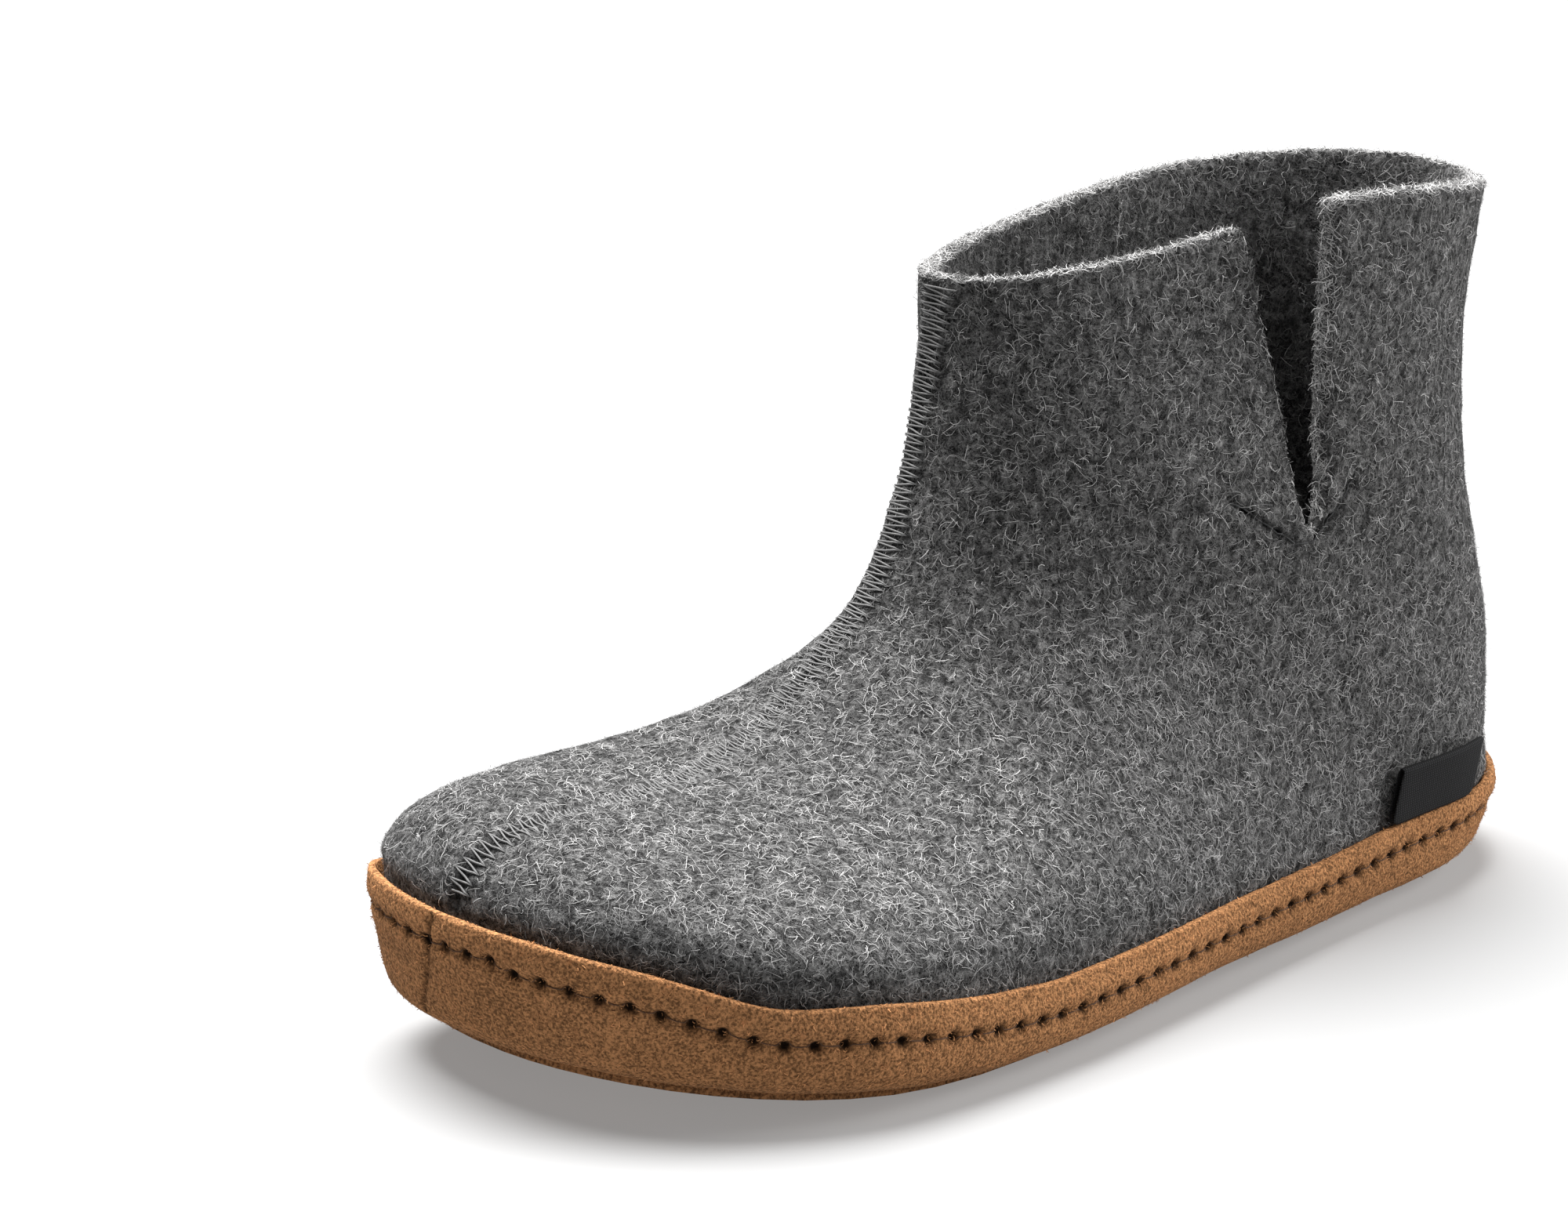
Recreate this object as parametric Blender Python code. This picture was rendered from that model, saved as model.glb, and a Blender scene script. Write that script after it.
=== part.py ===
"""Felt slipper boot, left foot, standing on its sole.

Frame: metres, +Z up, toe towards -Y, heel towards +Y, the outer (lateral) side of the foot towards +X.
Sizes below are millimetres. The felt upper is a sheet laid through fanned sections, from the toe over the
ball, instep and heel to the collar, then given its wall. The suede wrap, outsole and insole follow the
same outline of the last.
"""

import bisect
import collections
import functools
import math

import bmesh
import bpy
import numpy as np


def table(columns, *rows):
    """Table with named columns; the first column is the place at which the others are read."""
    row_type = collections.namedtuple("Row", columns)
    return tuple(row_type(*row) for row in rows)


MM = 0.001
GAP = 0.3
CENTRE_SHIFT = (1.81, 0.75)

# Last and outline
TOE_END = -132.5
HEEL_END = 131.0
MID_FOOT = (TOE_END + HEEL_END) / 2
HALF_LENGTH = (HEEL_END - TOE_END) / 2
HEEL_ARC_Y = 88.0
TOE_ARC_Y = -72.0
TOE_POWER_LATERAL = 2.45
TOE_POWER_MEDIAL = 4.2
OUTLINE = table(
    "y half_width",
    (TOE_ARC_Y, 51.0),
    (-40.0, 48.4),
    (-8.0, 43.2),
    (26.0, 39.4),
    (60.0, 37.6),
    (HEEL_ARC_Y, 35.8),
)
CENTRE_LINE = table(
    "y x",
    (TOE_END, -13.4),
    (-108.0, -7.4),
    (-80.0, -1.3),
    (-40.0, 3.2),
    (-8.0, 5.3),
    (26.0, 3.9),
    (60.0, 1.5),
    (HEEL_END, 0.0),
)

# Sole: toe spring, arch and heel roll of the tread, height of the wrap's top edge
TOE_SPRING = 9.2
TOE_SPRING_Y = -55.0
TOE_SPRING_POWER = 1.27
ARCH_RISE = 0.7
ARCH_Y = (-14.0, 36.0)
HEEL_ROLL = 1.6
HEEL_ROLL_Y = 104.0
WRAP_TOP = 18.5
WRAP_TOP_TOE_RISE = 17.6
WRAP_TOP_TOE_Y = -31.0
BIG_TOE_RISE = 3.5
BIG_TOE_END_Y = -75.0
BIG_TOE_POWER = 0.6

# Thicknesses
FELT = 4.5
SUEDE = 2.0
OUTSOLE = 1.6
OUTSOLE_INSET = 9.5
OUTSOLE_HEEL_INSET = 12.0
OUTSOLE_STEP_Y = (50.0, 58.0)
WRAP_ROUND = 7.5
WRAP_SLANT = 4.0
WRAP_SLANT_POWER = 4
WRAP_FLANGE = 14.0
WRAP_LIP = 0.5
WRAP_BULGE = 0.35
WRAP_EDGE_DROP = 2.5
FELT_TURN = math.radians(50)
FELT_TUCK = 1.5
INSOLE = 7.8
INSOLE_EDGE = 1.5
INSOLE_CLEAR = 0.8
INSOLE_FOOT_IN = 2.5

# Fanned sections of the felt: station on the edge path, crown point, widest half width and where it is,
# and the powers that shape the run from there to the crown
SECTIONS = table(
    "station crown_x crown_y crown_z wide wide_at taper round_lat round_med",
    (TOE_END, -13.4, -128.7, 36.7, 0.0, 0.10, 2.0, 1.8, 1.8),
    (-131.6, -14.8, -128.4, 39.8, 0.0, 0.10, 2.0, 1.8, 1.7),
    (-128.0, -17.5, -126.4, 44.0, 0.0, 0.10, 2.0, 1.6, 1.6),
    (-119.0, -21.5, -120.8, 49.2, 0.0, 0.10, 2.0, 1.45, 1.7),
    (-105.0, -26.0, -110.5, 52.8, 0.0, 0.10, 2.0, 1.35, 2.0),
    (-86.0, -28.0, -94.0, 53.8, 34.2, 0.10, 2.0, 1.3, 2.2),
    (-60.0, -27.0, -72.0, 54.4, 34.2, 0.10, 2.0, 1.3, 2.1),
    (-32.0, -23.0, -53.0, 58.4, 34.2, 0.10, 1.9, 1.4, 2.0),
    (0.0, -18.5, -39.0, 65.0, 34.2, 0.10, 1.8, 1.6, 2.0),
    (34.0, -16.0, -29.0, 71.4, 34.2, 0.12, 1.8, 1.8, 2.0),
    (68.0, -15.0, -22.5, 79.5, 34.2, 0.15, 1.9, 2.0, 2.0),
    (104.0, -14.4, -17.4, 91.0, 34.2, 0.20, 2.0, 2.0, 2.0),
    (HEEL_END, -14.2, -14.2, 101.0, 34.5, 0.30, 2.0, 2.0, 2.0),
    (160.5, -14.1, -11.8, 110.5, 34.0, 0.32, 1.8, 2.0, 2.0),
    (194.5, -14.0, -10.3, 119.5, 33.8, 0.33, 1.5, 2.1, 2.1),
    (224.5, -14.0, -9.5, 127.5, 34.6, 0.33, 1.25, 2.2, 2.2),
    (251.7, -13.9, -9.0, 134.8, 36.5, 0.33, 1.1, 2.3, 2.3),
)
BACK_LINE = table(
    "height y x",
    (WRAP_TOP + GAP, HEEL_END - SUEDE - GAP, 0.0),
    (28.0, 130.0, -0.2),
    (42.0, 129.6, -0.5),
    (55.0, 127.2, -1.0),
    (68.0, 124.2, -1.5),
    (86.0, 121.2, -2.2),
    (114.0, 121.6, -3.4),
    (133.0, 125.6, -4.4),
    (140.0, 128.2, -5.0),
)

# Side slits: where their two edges start at the bottom and how far they open at the collar
SLIT_BOTTOM_STATION = 160.5
SLIT_LATERAL, SLIT_MEDIAL = table(
    "y_bottom y_top gap_top front_bend front_lift back_lift back_flare",
    (53.0, 51.8, 9.0, 9.0, 4.0, 9.5, 4.0),
    (57.0, 61.5, 6.5, 7.0, 4.0, 1.0, 1.0),
)
SLIT_OPENING = table(
    "rise share",
    (0.0, 0.16),
    (0.03, 0.36),
    (0.35, 0.60),
    (1.0, 1.0),
)
SLIT_FREE_RISE = 0.6
SLIT_FREE_PART = 0.45
SLIT_FREE_GAP = 0.05
FLAP_REACH = 0.42
BEND_POWER = 1.5
LIFT_POWER = 1.4
FLARE_POWER = 3

# Relaxing of the sheet round the ankle, where the sections turn from the sole's edge to the back line
EASE_FULL = 10.0
EASE_NONE = 34.0
EASE_COLUMNS = 7
EASE_ROUNDS = 5
EASE_FACTOR = 0.5

# Mesh steps
FOOT_ROWS = 32
HEEL_ROWS = 4
SHAFT_ROWS = 10
BACK_STEPS = 7
FRONT_STEPS = 11
SOLE_STEPS = 4
TURN_STEPS = 3
NORMAL_REACH = 0.5

# Side label at the outer heel
LABEL_Y = (70.0, 99.0)
LABEL_SLANT = 3.2
LABEL_HEIGHT = 11.5
LABEL_THICK = 1.3
LABEL_LEAN = 1.2
LABEL_STEPS = 8
LABEL_STAND_OFF = 0.7
LABEL_SEARCH_BACK = 25.0
LABEL_SEARCH_STATIONS = 60
LABEL_SEARCH_STEPS = 41
LABEL_SEARCH_REACH = 0.5

COLOURS = {
    "upper": ("felt", (0.105, 0.105, 0.108), 0.95),
    "suede_wrap": ("suede", (0.36, 0.19, 0.085), 0.92),
    "outsole": ("suede_sole", (0.27, 0.15, 0.075), 0.95),
    "insole": ("footbed", (0.16, 0.155, 0.15), 0.95),
    "side_label": ("woven_tab", (0.012, 0.012, 0.013), 0.75),
}


@functools.lru_cache(maxsize=None)
def column_with_slopes(rows, name):
    """One column of a table as plain lists: its places, its values and their slopes."""
    places = [row[0] for row in rows]
    values = [getattr(row, name) for row in rows]
    return places, values, np.gradient(values, places).tolist()


def curve_through(rows, value, name):
    """Smooth value of a named column of a table, read at a value of its first column."""
    knots, heights, slopes = column_with_slopes(rows, name)
    spot = min(max(value, knots[0]), knots[-1])
    i = min(max(bisect.bisect_left(knots, spot) - 1, 0), len(knots) - 2)
    step = knots[i + 1] - knots[i]
    t = (spot - knots[i]) / step
    start = (1 + 2 * t) * (1 - t) ** 2 * heights[i] + t * (1 - t) ** 2 * step * slopes[i]
    end = t * t * (3 - 2 * t) * heights[i + 1] + t * t * (t - 1) * step * slopes[i + 1]
    return start + end


def ease(value, low, high):
    """Smooth step from 0 at low to 1 at high."""
    t = min(max((value - low) / (high - low), 0.0), 1.0)
    return t * t * (3 - 2 * t)


def half_width(y, side):
    """Half width of the wrap's outline at a place along the foot, fuller at the big toe."""
    if y >= HEEL_ARC_Y:
        q = (y - HEEL_ARC_Y) / (HEEL_END - HEEL_ARC_Y)
        return OUTLINE[-1].half_width * math.sqrt(max(0.0, 1 - q * q))
    if y <= TOE_ARC_Y:
        q = (TOE_ARC_Y - y) / (TOE_ARC_Y - TOE_END)
        power = TOE_POWER_LATERAL if side > 0 else TOE_POWER_MEDIAL
        return OUTLINE[0].half_width * math.sqrt(max(0.0, 1 - q ** power))
    return curve_through(OUTLINE, y, "half_width")


def outline_point(y, side):
    return np.array((curve_through(CENTRE_LINE, y, "x") + side * half_width(y, side), y))


def outline_normal(y, side):
    """Outward normal of the outline in plan."""
    inside = HALF_LENGTH - abs(y - MID_FOOT)
    if inside <= 0:
        return np.array((0.0, math.copysign(1.0, y)))
    reach = min(NORMAL_REACH, inside / 2)
    along = outline_point(y + reach, side) - outline_point(y - reach, side)
    normal = np.array((along[1], -along[0])) * side
    return normal / np.linalg.norm(normal)


def inset_point(y, side, outward):
    return outline_point(y, side) + outline_normal(y, side) * outward


def tread_height(y):
    """Height of the tread's underside: flat at forefoot and heel, raised at toe, arch and heel end."""
    rise = 0.0
    if y < TOE_SPRING_Y:
        rise = TOE_SPRING * ((TOE_SPRING_Y - y) / (TOE_SPRING_Y - TOE_END)) ** TOE_SPRING_POWER
    elif ARCH_Y[0] < y < ARCH_Y[1]:
        rise = ARCH_RISE * math.sin(math.pi * (y - ARCH_Y[0]) / (ARCH_Y[1] - ARCH_Y[0])) ** 2
    elif y > HEEL_ROLL_Y:
        rise = HEEL_ROLL * ((y - HEEL_ROLL_Y) / (HEEL_END - HEEL_ROLL_Y)) ** 2
    return rise


def wrap_bottom(y):
    """Underside of the wrap's turned edge, just above the outsole."""
    return tread_height(y) + OUTSOLE + GAP


def wrap_top(y, side):
    """Height of the wrap's top edge, drawn up round the toe and most at the big toe's corner."""
    rise = max(0.0, (WRAP_TOP_TOE_Y - y) / (WRAP_TOP_TOE_Y - TOE_END))
    top = WRAP_TOP + WRAP_TOP_TOE_RISE * rise ** 2
    if side < 0 and y < BIG_TOE_END_Y:
        run = (y - TOE_END) / (BIG_TOE_END_Y - TOE_END)
        top += BIG_TOE_RISE * math.sin(math.pi * run ** BIG_TOE_POWER)
    return top


def wrap_slant(y):
    """How far the foot of the wrap's wall is drawn in under its top edge, at toe and heel only."""
    return WRAP_SLANT * abs((y - MID_FOOT) / HALF_LENGTH) ** WRAP_SLANT_POWER


def toe_tuck(y):
    """How far the felt stands in from the wrap's top edge round the toe."""
    return FELT_TUCK * max(0.0, (MID_FOOT - y) / HALF_LENGTH) ** WRAP_SLANT_POWER


def foot_stations():
    """Places along the foot, close together around the toe and the heel."""
    turn = np.linspace(0.0, math.pi, FOOT_ROWS + 1)[1:-1]
    return [TOE_END] + [float(MID_FOOT - HALF_LENGTH * math.cos(a)) for a in turn] + [HEEL_END]


def edge_loop(outward, height, slant=1.0):
    """Closed loop round the foot: toe, lateral side, heel, medial side, at a distance from the outline.

    slant is the share of the wall's slant at the loop's level, 0 at the wrap's top edge and 1 at its foot.
    """
    stations = foot_stations()
    loop = []
    for y in stations:
        loop.append((y, 1))
    for y in reversed(stations[1:-1]):
        loop.append((y, -1))
    points = []
    for y, side in loop:
        x_in, y_in = inset_point(y, side, outward - slant * wrap_slant(y))
        points.append((x_in, y_in, height(y, y_in, side)))
    return points


def section_value(station, name):
    return curve_through(SECTIONS, station, name)


def edge_end(station, side):
    """Point where a section of the felt ends: on the wrap's top edge, or on the back line of the heel."""
    if station <= HEEL_END:
        x, y = inset_point(station, side, -SUEDE - GAP - toe_tuck(station))
        return np.array((x, y, wrap_top(station, side) + GAP))
    height = wrap_top(HEEL_END, side) + GAP + station - HEEL_END
    return np.array((curve_through(BACK_LINE, height, "x"), curve_through(BACK_LINE, height, "y"), height))


def section_point(station, side, p):
    """Point of the felt's outer face on one section, p running from its end at 0 to its crown at 1."""
    lateral_end = edge_end(station, 1)
    medial_end = edge_end(station, -1)
    end = lateral_end if side > 0 else medial_end
    end_half = (lateral_end[0] - medial_end[0]) / 2
    end_centre = (lateral_end[0] + medial_end[0]) / 2
    wide = max(section_value(station, "wide"), end_half)
    wide_at = section_value(station, "wide_at")
    if p < wide_at:
        short = 1 - (end_half / wide) ** 2 if wide > 0 else 0.0
        share = math.sqrt(max(0.0, 1 - short * ((wide_at - p) / wide_at) ** 2))
        lean = 0.0
    else:
        run = (p - wide_at) / (1 - wide_at)
        power = section_value(station, "round_lat" if side > 0 else "round_med")
        share = max(0.0, 1 - run ** section_value(station, "taper")) ** (1 / power)
        lean = 1 - share
    x = end_centre + (section_value(station, "crown_x") - end_centre) * lean + side * wide * share
    y = end[1] + (section_value(station, "crown_y") - end[1]) * p
    z = end[2] + (section_value(station, "crown_z") - end[2]) * p
    return np.array((x, y, z))


def slit_parts(station, slit):
    """Places of the slit's back and front edges on a section, and how far up the slit the section is."""
    last = SECTIONS[-1].station
    rise = (station - SLIT_BOTTOM_STATION) / (last - SLIT_BOTTOM_STATION)
    end = edge_end(max(station, SLIT_BOTTOM_STATION), 1)
    crown = section_value(max(station, SLIT_BOTTOM_STATION), "crown_y")
    run = end[1] - crown
    up = max(rise, 0.0)
    middle = (end[1] - slit.y_bottom - (slit.y_top - slit.y_bottom) * up) / run
    gap = slit.gap_top * curve_through(SLIT_OPENING, up, "share") / run
    below = ease(-rise, 0.0, SLIT_FREE_RISE)
    middle += (SLIT_FREE_PART - middle) * below
    gap += (SLIT_FREE_GAP - gap) * below
    return middle - gap / 2, middle + gap / 2, up


def section_steps(station, slit):
    """Values of p for the columns of one section: end, slit's back edge, slit's front edge, crown."""
    back, front, _ = slit_parts(station, slit)
    closed = ease(station, HEEL_ARC_Y, HEEL_END)
    steps = []
    for i in range(BACK_STEPS):
        t = i / BACK_STEPS
        steps.append(back * (t + closed * (1 - math.cos(t * math.pi / 2) - t)))
    steps.append(back)
    for i in range(FRONT_STEPS):
        turn = math.asin(front) + (math.pi / 2 - math.asin(front)) * i / FRONT_STEPS
        steps.append(math.sin(turn))
    return steps


def felt_point(station, side, p, slit):
    """Section point, with the front flap bent in beside the slit, the back one flared, and both lifted."""
    point = section_point(station, side, p)
    back, front, up = slit_parts(station, slit)
    if up > 0 and p >= front:
        near = max(0.0, 1 - (p - front) / FLAP_REACH)
        point[0] -= side * slit.front_bend * up * near ** BEND_POWER
        point[2] += slit.front_lift * up * near
    if up > 0 and p <= back:
        near = math.sin(math.pi / 2 * p / back)
        point[2] += slit.back_lift * up * near ** LIFT_POWER
        point[0] += side * slit.back_flare * up * (p / back) ** FLARE_POWER
    return point


def felt_stations():
    """Stations of the felt's rows: along the foot, up the heel, then up the shaft beside the slits."""
    last = SECTIONS[-1].station
    heel = np.linspace(HEEL_END, SLIT_BOTTOM_STATION, HEEL_ROWS + 1)[1:].tolist()
    shaft = np.linspace(SLIT_BOTTOM_STATION, last, SHAFT_ROWS + 1)[1:].tolist()
    slit_end = SLIT_BOTTOM_STATION + SLIT_OPENING[1].rise * (last - SLIT_BOTTOM_STATION)
    return foot_stations() + heel + [slit_end] + shaft


def skirt_profile(y, side):
    """Felt below the wrap's top edge: down inside the wrap and part way round its bottom."""
    plain = -SUEDE - GAP
    radius = WRAP_ROUND - SUEDE - GAP
    levels = []
    for share in (0.5, 1.0):
        x_in, y_in = inset_point(y, side, plain - share * wrap_slant(y))
        low = wrap_bottom(y_in) + WRAP_ROUND
        levels.append((x_in, y_in, wrap_top(y, side) + (low - wrap_top(y, side)) * share))
    for share in (0.5, 1.0):
        turn = FELT_TURN * share
        x_in, y_in = inset_point(y, side, plain - wrap_slant(y) - radius * (1 - math.cos(turn)))
        levels.append((x_in, y_in, wrap_bottom(y_in) + WRAP_ROUND - radius * math.sin(turn)))
    return levels


def new_object(name, points, faces):
    """Mesh object from millimetre points, with its own material."""
    mesh = bpy.data.meshes.new(name)
    dx, dy = CENTRE_SHIFT
    mesh.from_pydata([((x + dx) * MM, (y + dy) * MM, z * MM) for x, y, z in points], [], faces)
    mesh.validate()
    work = bmesh.new()
    work.from_mesh(mesh)
    bmesh.ops.recalc_face_normals(work, faces=work.faces)
    work.to_mesh(mesh)
    work.free()
    piece = bpy.data.objects.new(name, mesh)
    bpy.context.scene.collection.objects.link(piece)
    slot, colour, roughness = COLOURS[name]
    material = bpy.data.materials.new(slot)
    material.use_nodes = True
    surface = material.node_tree.nodes["Principled BSDF"]
    surface.inputs["Base Color"].default_value = (*colour, 1.0)
    surface.inputs["Roughness"].default_value = roughness
    surface.inputs["Metallic"].default_value = 0.0
    mesh.materials.append(material)
    return piece


def build_upper():
    """Felt sheet through the sections, with its skirt inside the wrap, given its wall by Solidify."""
    points = []
    faces = []

    def add(point):
        points.append(tuple(point))
        return len(points) - 1

    rows = {1: [], -1: []}
    stations = felt_stations()
    for station in stations:
        crown = None
        for side, slit in ((1, SLIT_LATERAL), (-1, SLIT_MEDIAL)):
            if station == stations[0]:
                if crown is None:
                    crown = add(edge_end(station, 1))
                rows[side].append([crown] * (BACK_STEPS + FRONT_STEPS + 2))
                continue
            steps = section_steps(station, slit)
            row = [add(felt_point(station, side, p, slit)) for p in steps]
            if side < 0 and station >= HEEL_END:
                row[0] = rows[1][-1][0]
            if crown is None:
                crown = add(section_point(station, 1, 1.0))
            rows[side].append(row + [crown])

    for side in (1, -1):
        for i, (low, high) in enumerate(zip(rows[side], rows[side][1:])):
            in_slit = stations[i] >= SLIT_BOTTOM_STATION
            for j in range(len(low) - 1):
                if in_slit and j == BACK_STEPS:
                    continue
                corners = [low[j], low[j + 1], high[j + 1], high[j]]
                face = list(dict.fromkeys(corners))
                faces.append(face if side > 0 else face[::-1])

    foot = foot_stations()
    loop = [rows[1][i][0] for i in range(len(foot))]
    loop += [rows[-1][i][0] for i in range(len(foot) - 2, 0, -1)]
    places = [(y, 1) for y in foot] + [(y, -1) for y in reversed(foot[1:-1])]
    skirts = [skirt_profile(y, side) for y, side in places]
    above = loop
    for level in range(len(skirts[0])):
        below = [add(skirt[level]) for skirt in skirts]
        for k in range(len(loop)):
            n = (k + 1) % len(loop)
            faces.append([above[k], above[n], below[n], below[k]])
        above = below

    used = sorted({v for face in faces for v in face})
    place = {v: i for i, v in enumerate(used)}
    faces = [[place[v] for v in face] for face in faces]
    upper = new_object("upper", [points[v] for v in used], faces)
    group = upper.vertex_groups.new(name="ankle")
    for side in (1, -1):
        for station, row in zip(stations, rows[side]):
            weight = 1 - ease(abs(station - HEEL_END), EASE_FULL, EASE_NONE)
            for j, vertex in enumerate(row):
                share = weight * ease(j, 0, EASE_COLUMNS)
                if share > 0:
                    group.add([place[vertex]], share, "REPLACE")
    relax = upper.modifiers.new("relax", "SMOOTH")
    relax.factor = EASE_FACTOR
    relax.iterations = EASE_ROUNDS
    relax.vertex_group = group.name
    wall = upper.modifiers.new("wall", "SOLIDIFY")
    wall.thickness = FELT * MM
    wall.offset = -1.0
    wall.use_even_offset = False
    wall.use_quality_normals = True
    wall.use_rim = True
    return upper


def wrap_profile():
    """Closed section of the suede wrap: distance from the outline, height and share of the wall's slant."""

    def wall(share, drop=0.0):
        def height(y, y_in, side):
            foot = wrap_bottom(y_in) + WRAP_ROUND
            return wrap_top(y, side) - drop + (foot - wrap_top(y, side)) * share
        return height

    outer = [
        (-WRAP_LIP, wall(0.0), 0.0),
        (0.0, wall(0.0, WRAP_EDGE_DROP), 0.0),
        (WRAP_BULGE, wall(0.5), 0.5),
    ]
    inner = [(-SUEDE, wall(0.0), 0.0), (-SUEDE, wall(0.5), 0.5)]

    def turned(radius, turn):
        away = -(WRAP_ROUND - radius) - radius * (1 - math.cos(turn))
        return away, lambda y, y_in, side: wrap_bottom(y_in) + WRAP_ROUND - radius * math.sin(turn), 1.0

    turns = [math.pi / 2 * i / TURN_STEPS for i in range(TURN_STEPS + 1)]
    outer += [turned(WRAP_ROUND, turn) for turn in turns]
    inner += [turned(WRAP_ROUND - SUEDE, turn) for turn in turns]
    outer.append((-WRAP_FLANGE, lambda y, y_in, side: wrap_bottom(y_in), 1.0))
    inner.append((-WRAP_FLANGE, lambda y, y_in, side: wrap_bottom(y_in) + SUEDE, 1.0))
    return outer + inner[::-1]


def build_wrap():
    """Suede band swept round the outline of the last."""
    profile = wrap_profile()
    loops = [edge_loop(outward, height, slant) for outward, height, slant in profile]
    count = len(loops[0])
    points = [point for loop in loops for point in loop]
    faces = []
    for i in range(len(loops)):
        j = (i + 1) % len(loops)
        for k in range(count):
            n = (k + 1) % count
            faces.append([i * count + k, i * count + n, j * count + n, j * count + k])
    return new_object("suede_wrap", points, faces)


def plate(name, levels):
    """Closed plate from loops of the outline, lowest first, with crosswise steps on its two faces."""
    foot = foot_stations()
    count = len(foot)
    points = []
    faces = []
    rims = []
    for loop in levels:
        rims.append(list(range(len(points), len(points) + len(loop))))
        points += loop
    for low, high in zip(rims, rims[1:]):
        for k in range(len(low)):
            n = (k + 1) % len(low)
            faces.append([low[k], low[n], high[n], high[k]])
    for rim, upward in ((rims[0], False), (rims[-1], True)):
        rows = [[rim[0]] * (SOLE_STEPS + 1)]
        for i in range(1, count - 1):
            lateral = rim[i]
            medial = rim[len(rim) - i]
            row = [lateral]
            for step in range(1, SOLE_STEPS):
                blend = np.array(points[lateral]) * (1 - step / SOLE_STEPS)
                blend += np.array(points[medial]) * step / SOLE_STEPS
                points.append(tuple(blend))
                row.append(len(points) - 1)
            rows.append(row + [medial])
        rows.append([rim[count - 1]] * (SOLE_STEPS + 1))
        for low, high in zip(rows, rows[1:]):
            for j in range(SOLE_STEPS):
                face = list(dict.fromkeys([low[j], low[j + 1], high[j + 1], high[j]]))
                faces.append(face if upward else face[::-1])
    return new_object(name, points, faces)


def outsole_inset(y):
    return OUTSOLE_INSET + (OUTSOLE_HEEL_INSET - OUTSOLE_INSET) * ease(y, *OUTSOLE_STEP_Y)


def outsole_loop(height):
    loop = []
    foot = foot_stations()
    places = [(y, 1) for y in foot] + [(y, -1) for y in reversed(foot[1:-1])]
    for y, side in places:
        x_in, y_in = inset_point(y, side, -outsole_inset(y) - wrap_slant(y))
        loop.append((x_in, y_in, tread_height(y_in) + height))
    return loop


def build_outsole():
    return plate("outsole", [outsole_loop(0.0), outsole_loop(OUTSOLE)])


def build_insole():
    """Footbed that fills the floor of the shoe between the felt walls."""
    inner = -SUEDE - GAP - FELT
    base = SUEDE + GAP
    turn_radius = WRAP_ROUND - SUEDE - GAP - FELT
    turn_in = turn_radius * (1 - math.cos(FELT_TURN))
    turn_low = WRAP_ROUND - turn_radius * math.sin(FELT_TURN)

    def level(outward, rise):
        return edge_loop(outward, lambda y, y_in, side: wrap_bottom(y_in) + rise)

    return plate("insole", [
        level(inner - turn_in - INSOLE_FOOT_IN, base),
        level(inner - turn_in - INSOLE_CLEAR, turn_low),
        level(inner - INSOLE_CLEAR, WRAP_ROUND + GAP),
        level(inner - INSOLE_CLEAR - INSOLE_EDGE, base + INSOLE),
    ])


def felt_side_x(y, z):
    """Outer face of the felt on the lateral side at a place and height, found along the sections."""
    best = None
    stations = np.linspace(y - LABEL_SEARCH_BACK, SLIT_BOTTOM_STATION, LABEL_SEARCH_STATIONS).tolist()
    steps = np.linspace(0.0, LABEL_SEARCH_REACH, LABEL_SEARCH_STEPS).tolist()
    for station in stations:
        for p in steps:
            point = section_point(station, 1, p)
            off = (point[1] - y) ** 2 + (point[2] - z) ** 2
            if best is None or off < best[0]:
                best = (off, point[0])
    return best[1]


def build_label():
    """Folded woven tab that stands up from the wrap's top edge against the felt."""
    points = []
    low = WRAP_TOP + GAP
    for away in (LABEL_STAND_OFF, LABEL_STAND_OFF + LABEL_THICK):
        for level in range(2):
            for i in range(LABEL_STEPS + 1):
                y = LABEL_Y[0] + (LABEL_Y[1] - LABEL_Y[0]) * i / LABEL_STEPS + LABEL_SLANT * level
                z = low + LABEL_HEIGHT * level
                x = felt_side_x(y, z) + away + LABEL_LEAN * level
                points.append((x, y, z))
    n = LABEL_STEPS + 1

    def at(layer, level, i):
        return (layer * 2 + level) * n + i

    faces = []
    for i in range(LABEL_STEPS):
        for layer in (0, 1):
            faces.append([at(layer, 0, i), at(layer, 0, i + 1), at(layer, 1, i + 1), at(layer, 1, i)])
        for level in (0, 1):
            faces.append([at(0, level, i), at(0, level, i + 1), at(1, level, i + 1), at(1, level, i)])
    for i in (0, LABEL_STEPS):
        faces.append([at(0, 0, i), at(0, 1, i), at(1, 1, i), at(1, 0, i)])
    return new_object("side_label", points, faces)


def main():
    for old in list(bpy.data.objects):
        bpy.data.objects.remove(old, do_unlink=True)
    build_upper()
    build_wrap()
    build_outsole()
    build_insole()
    build_label()


main()
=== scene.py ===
"""Looks of a felt slipper boot for the left foot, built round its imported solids."""

import collections
import math
import random

import bpy
import numpy as np
from bpy.props import FloatProperty, FloatVectorProperty, IntProperty, PointerProperty
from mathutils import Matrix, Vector, noise
from mathutils.bvhtree import BVHTree


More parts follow.
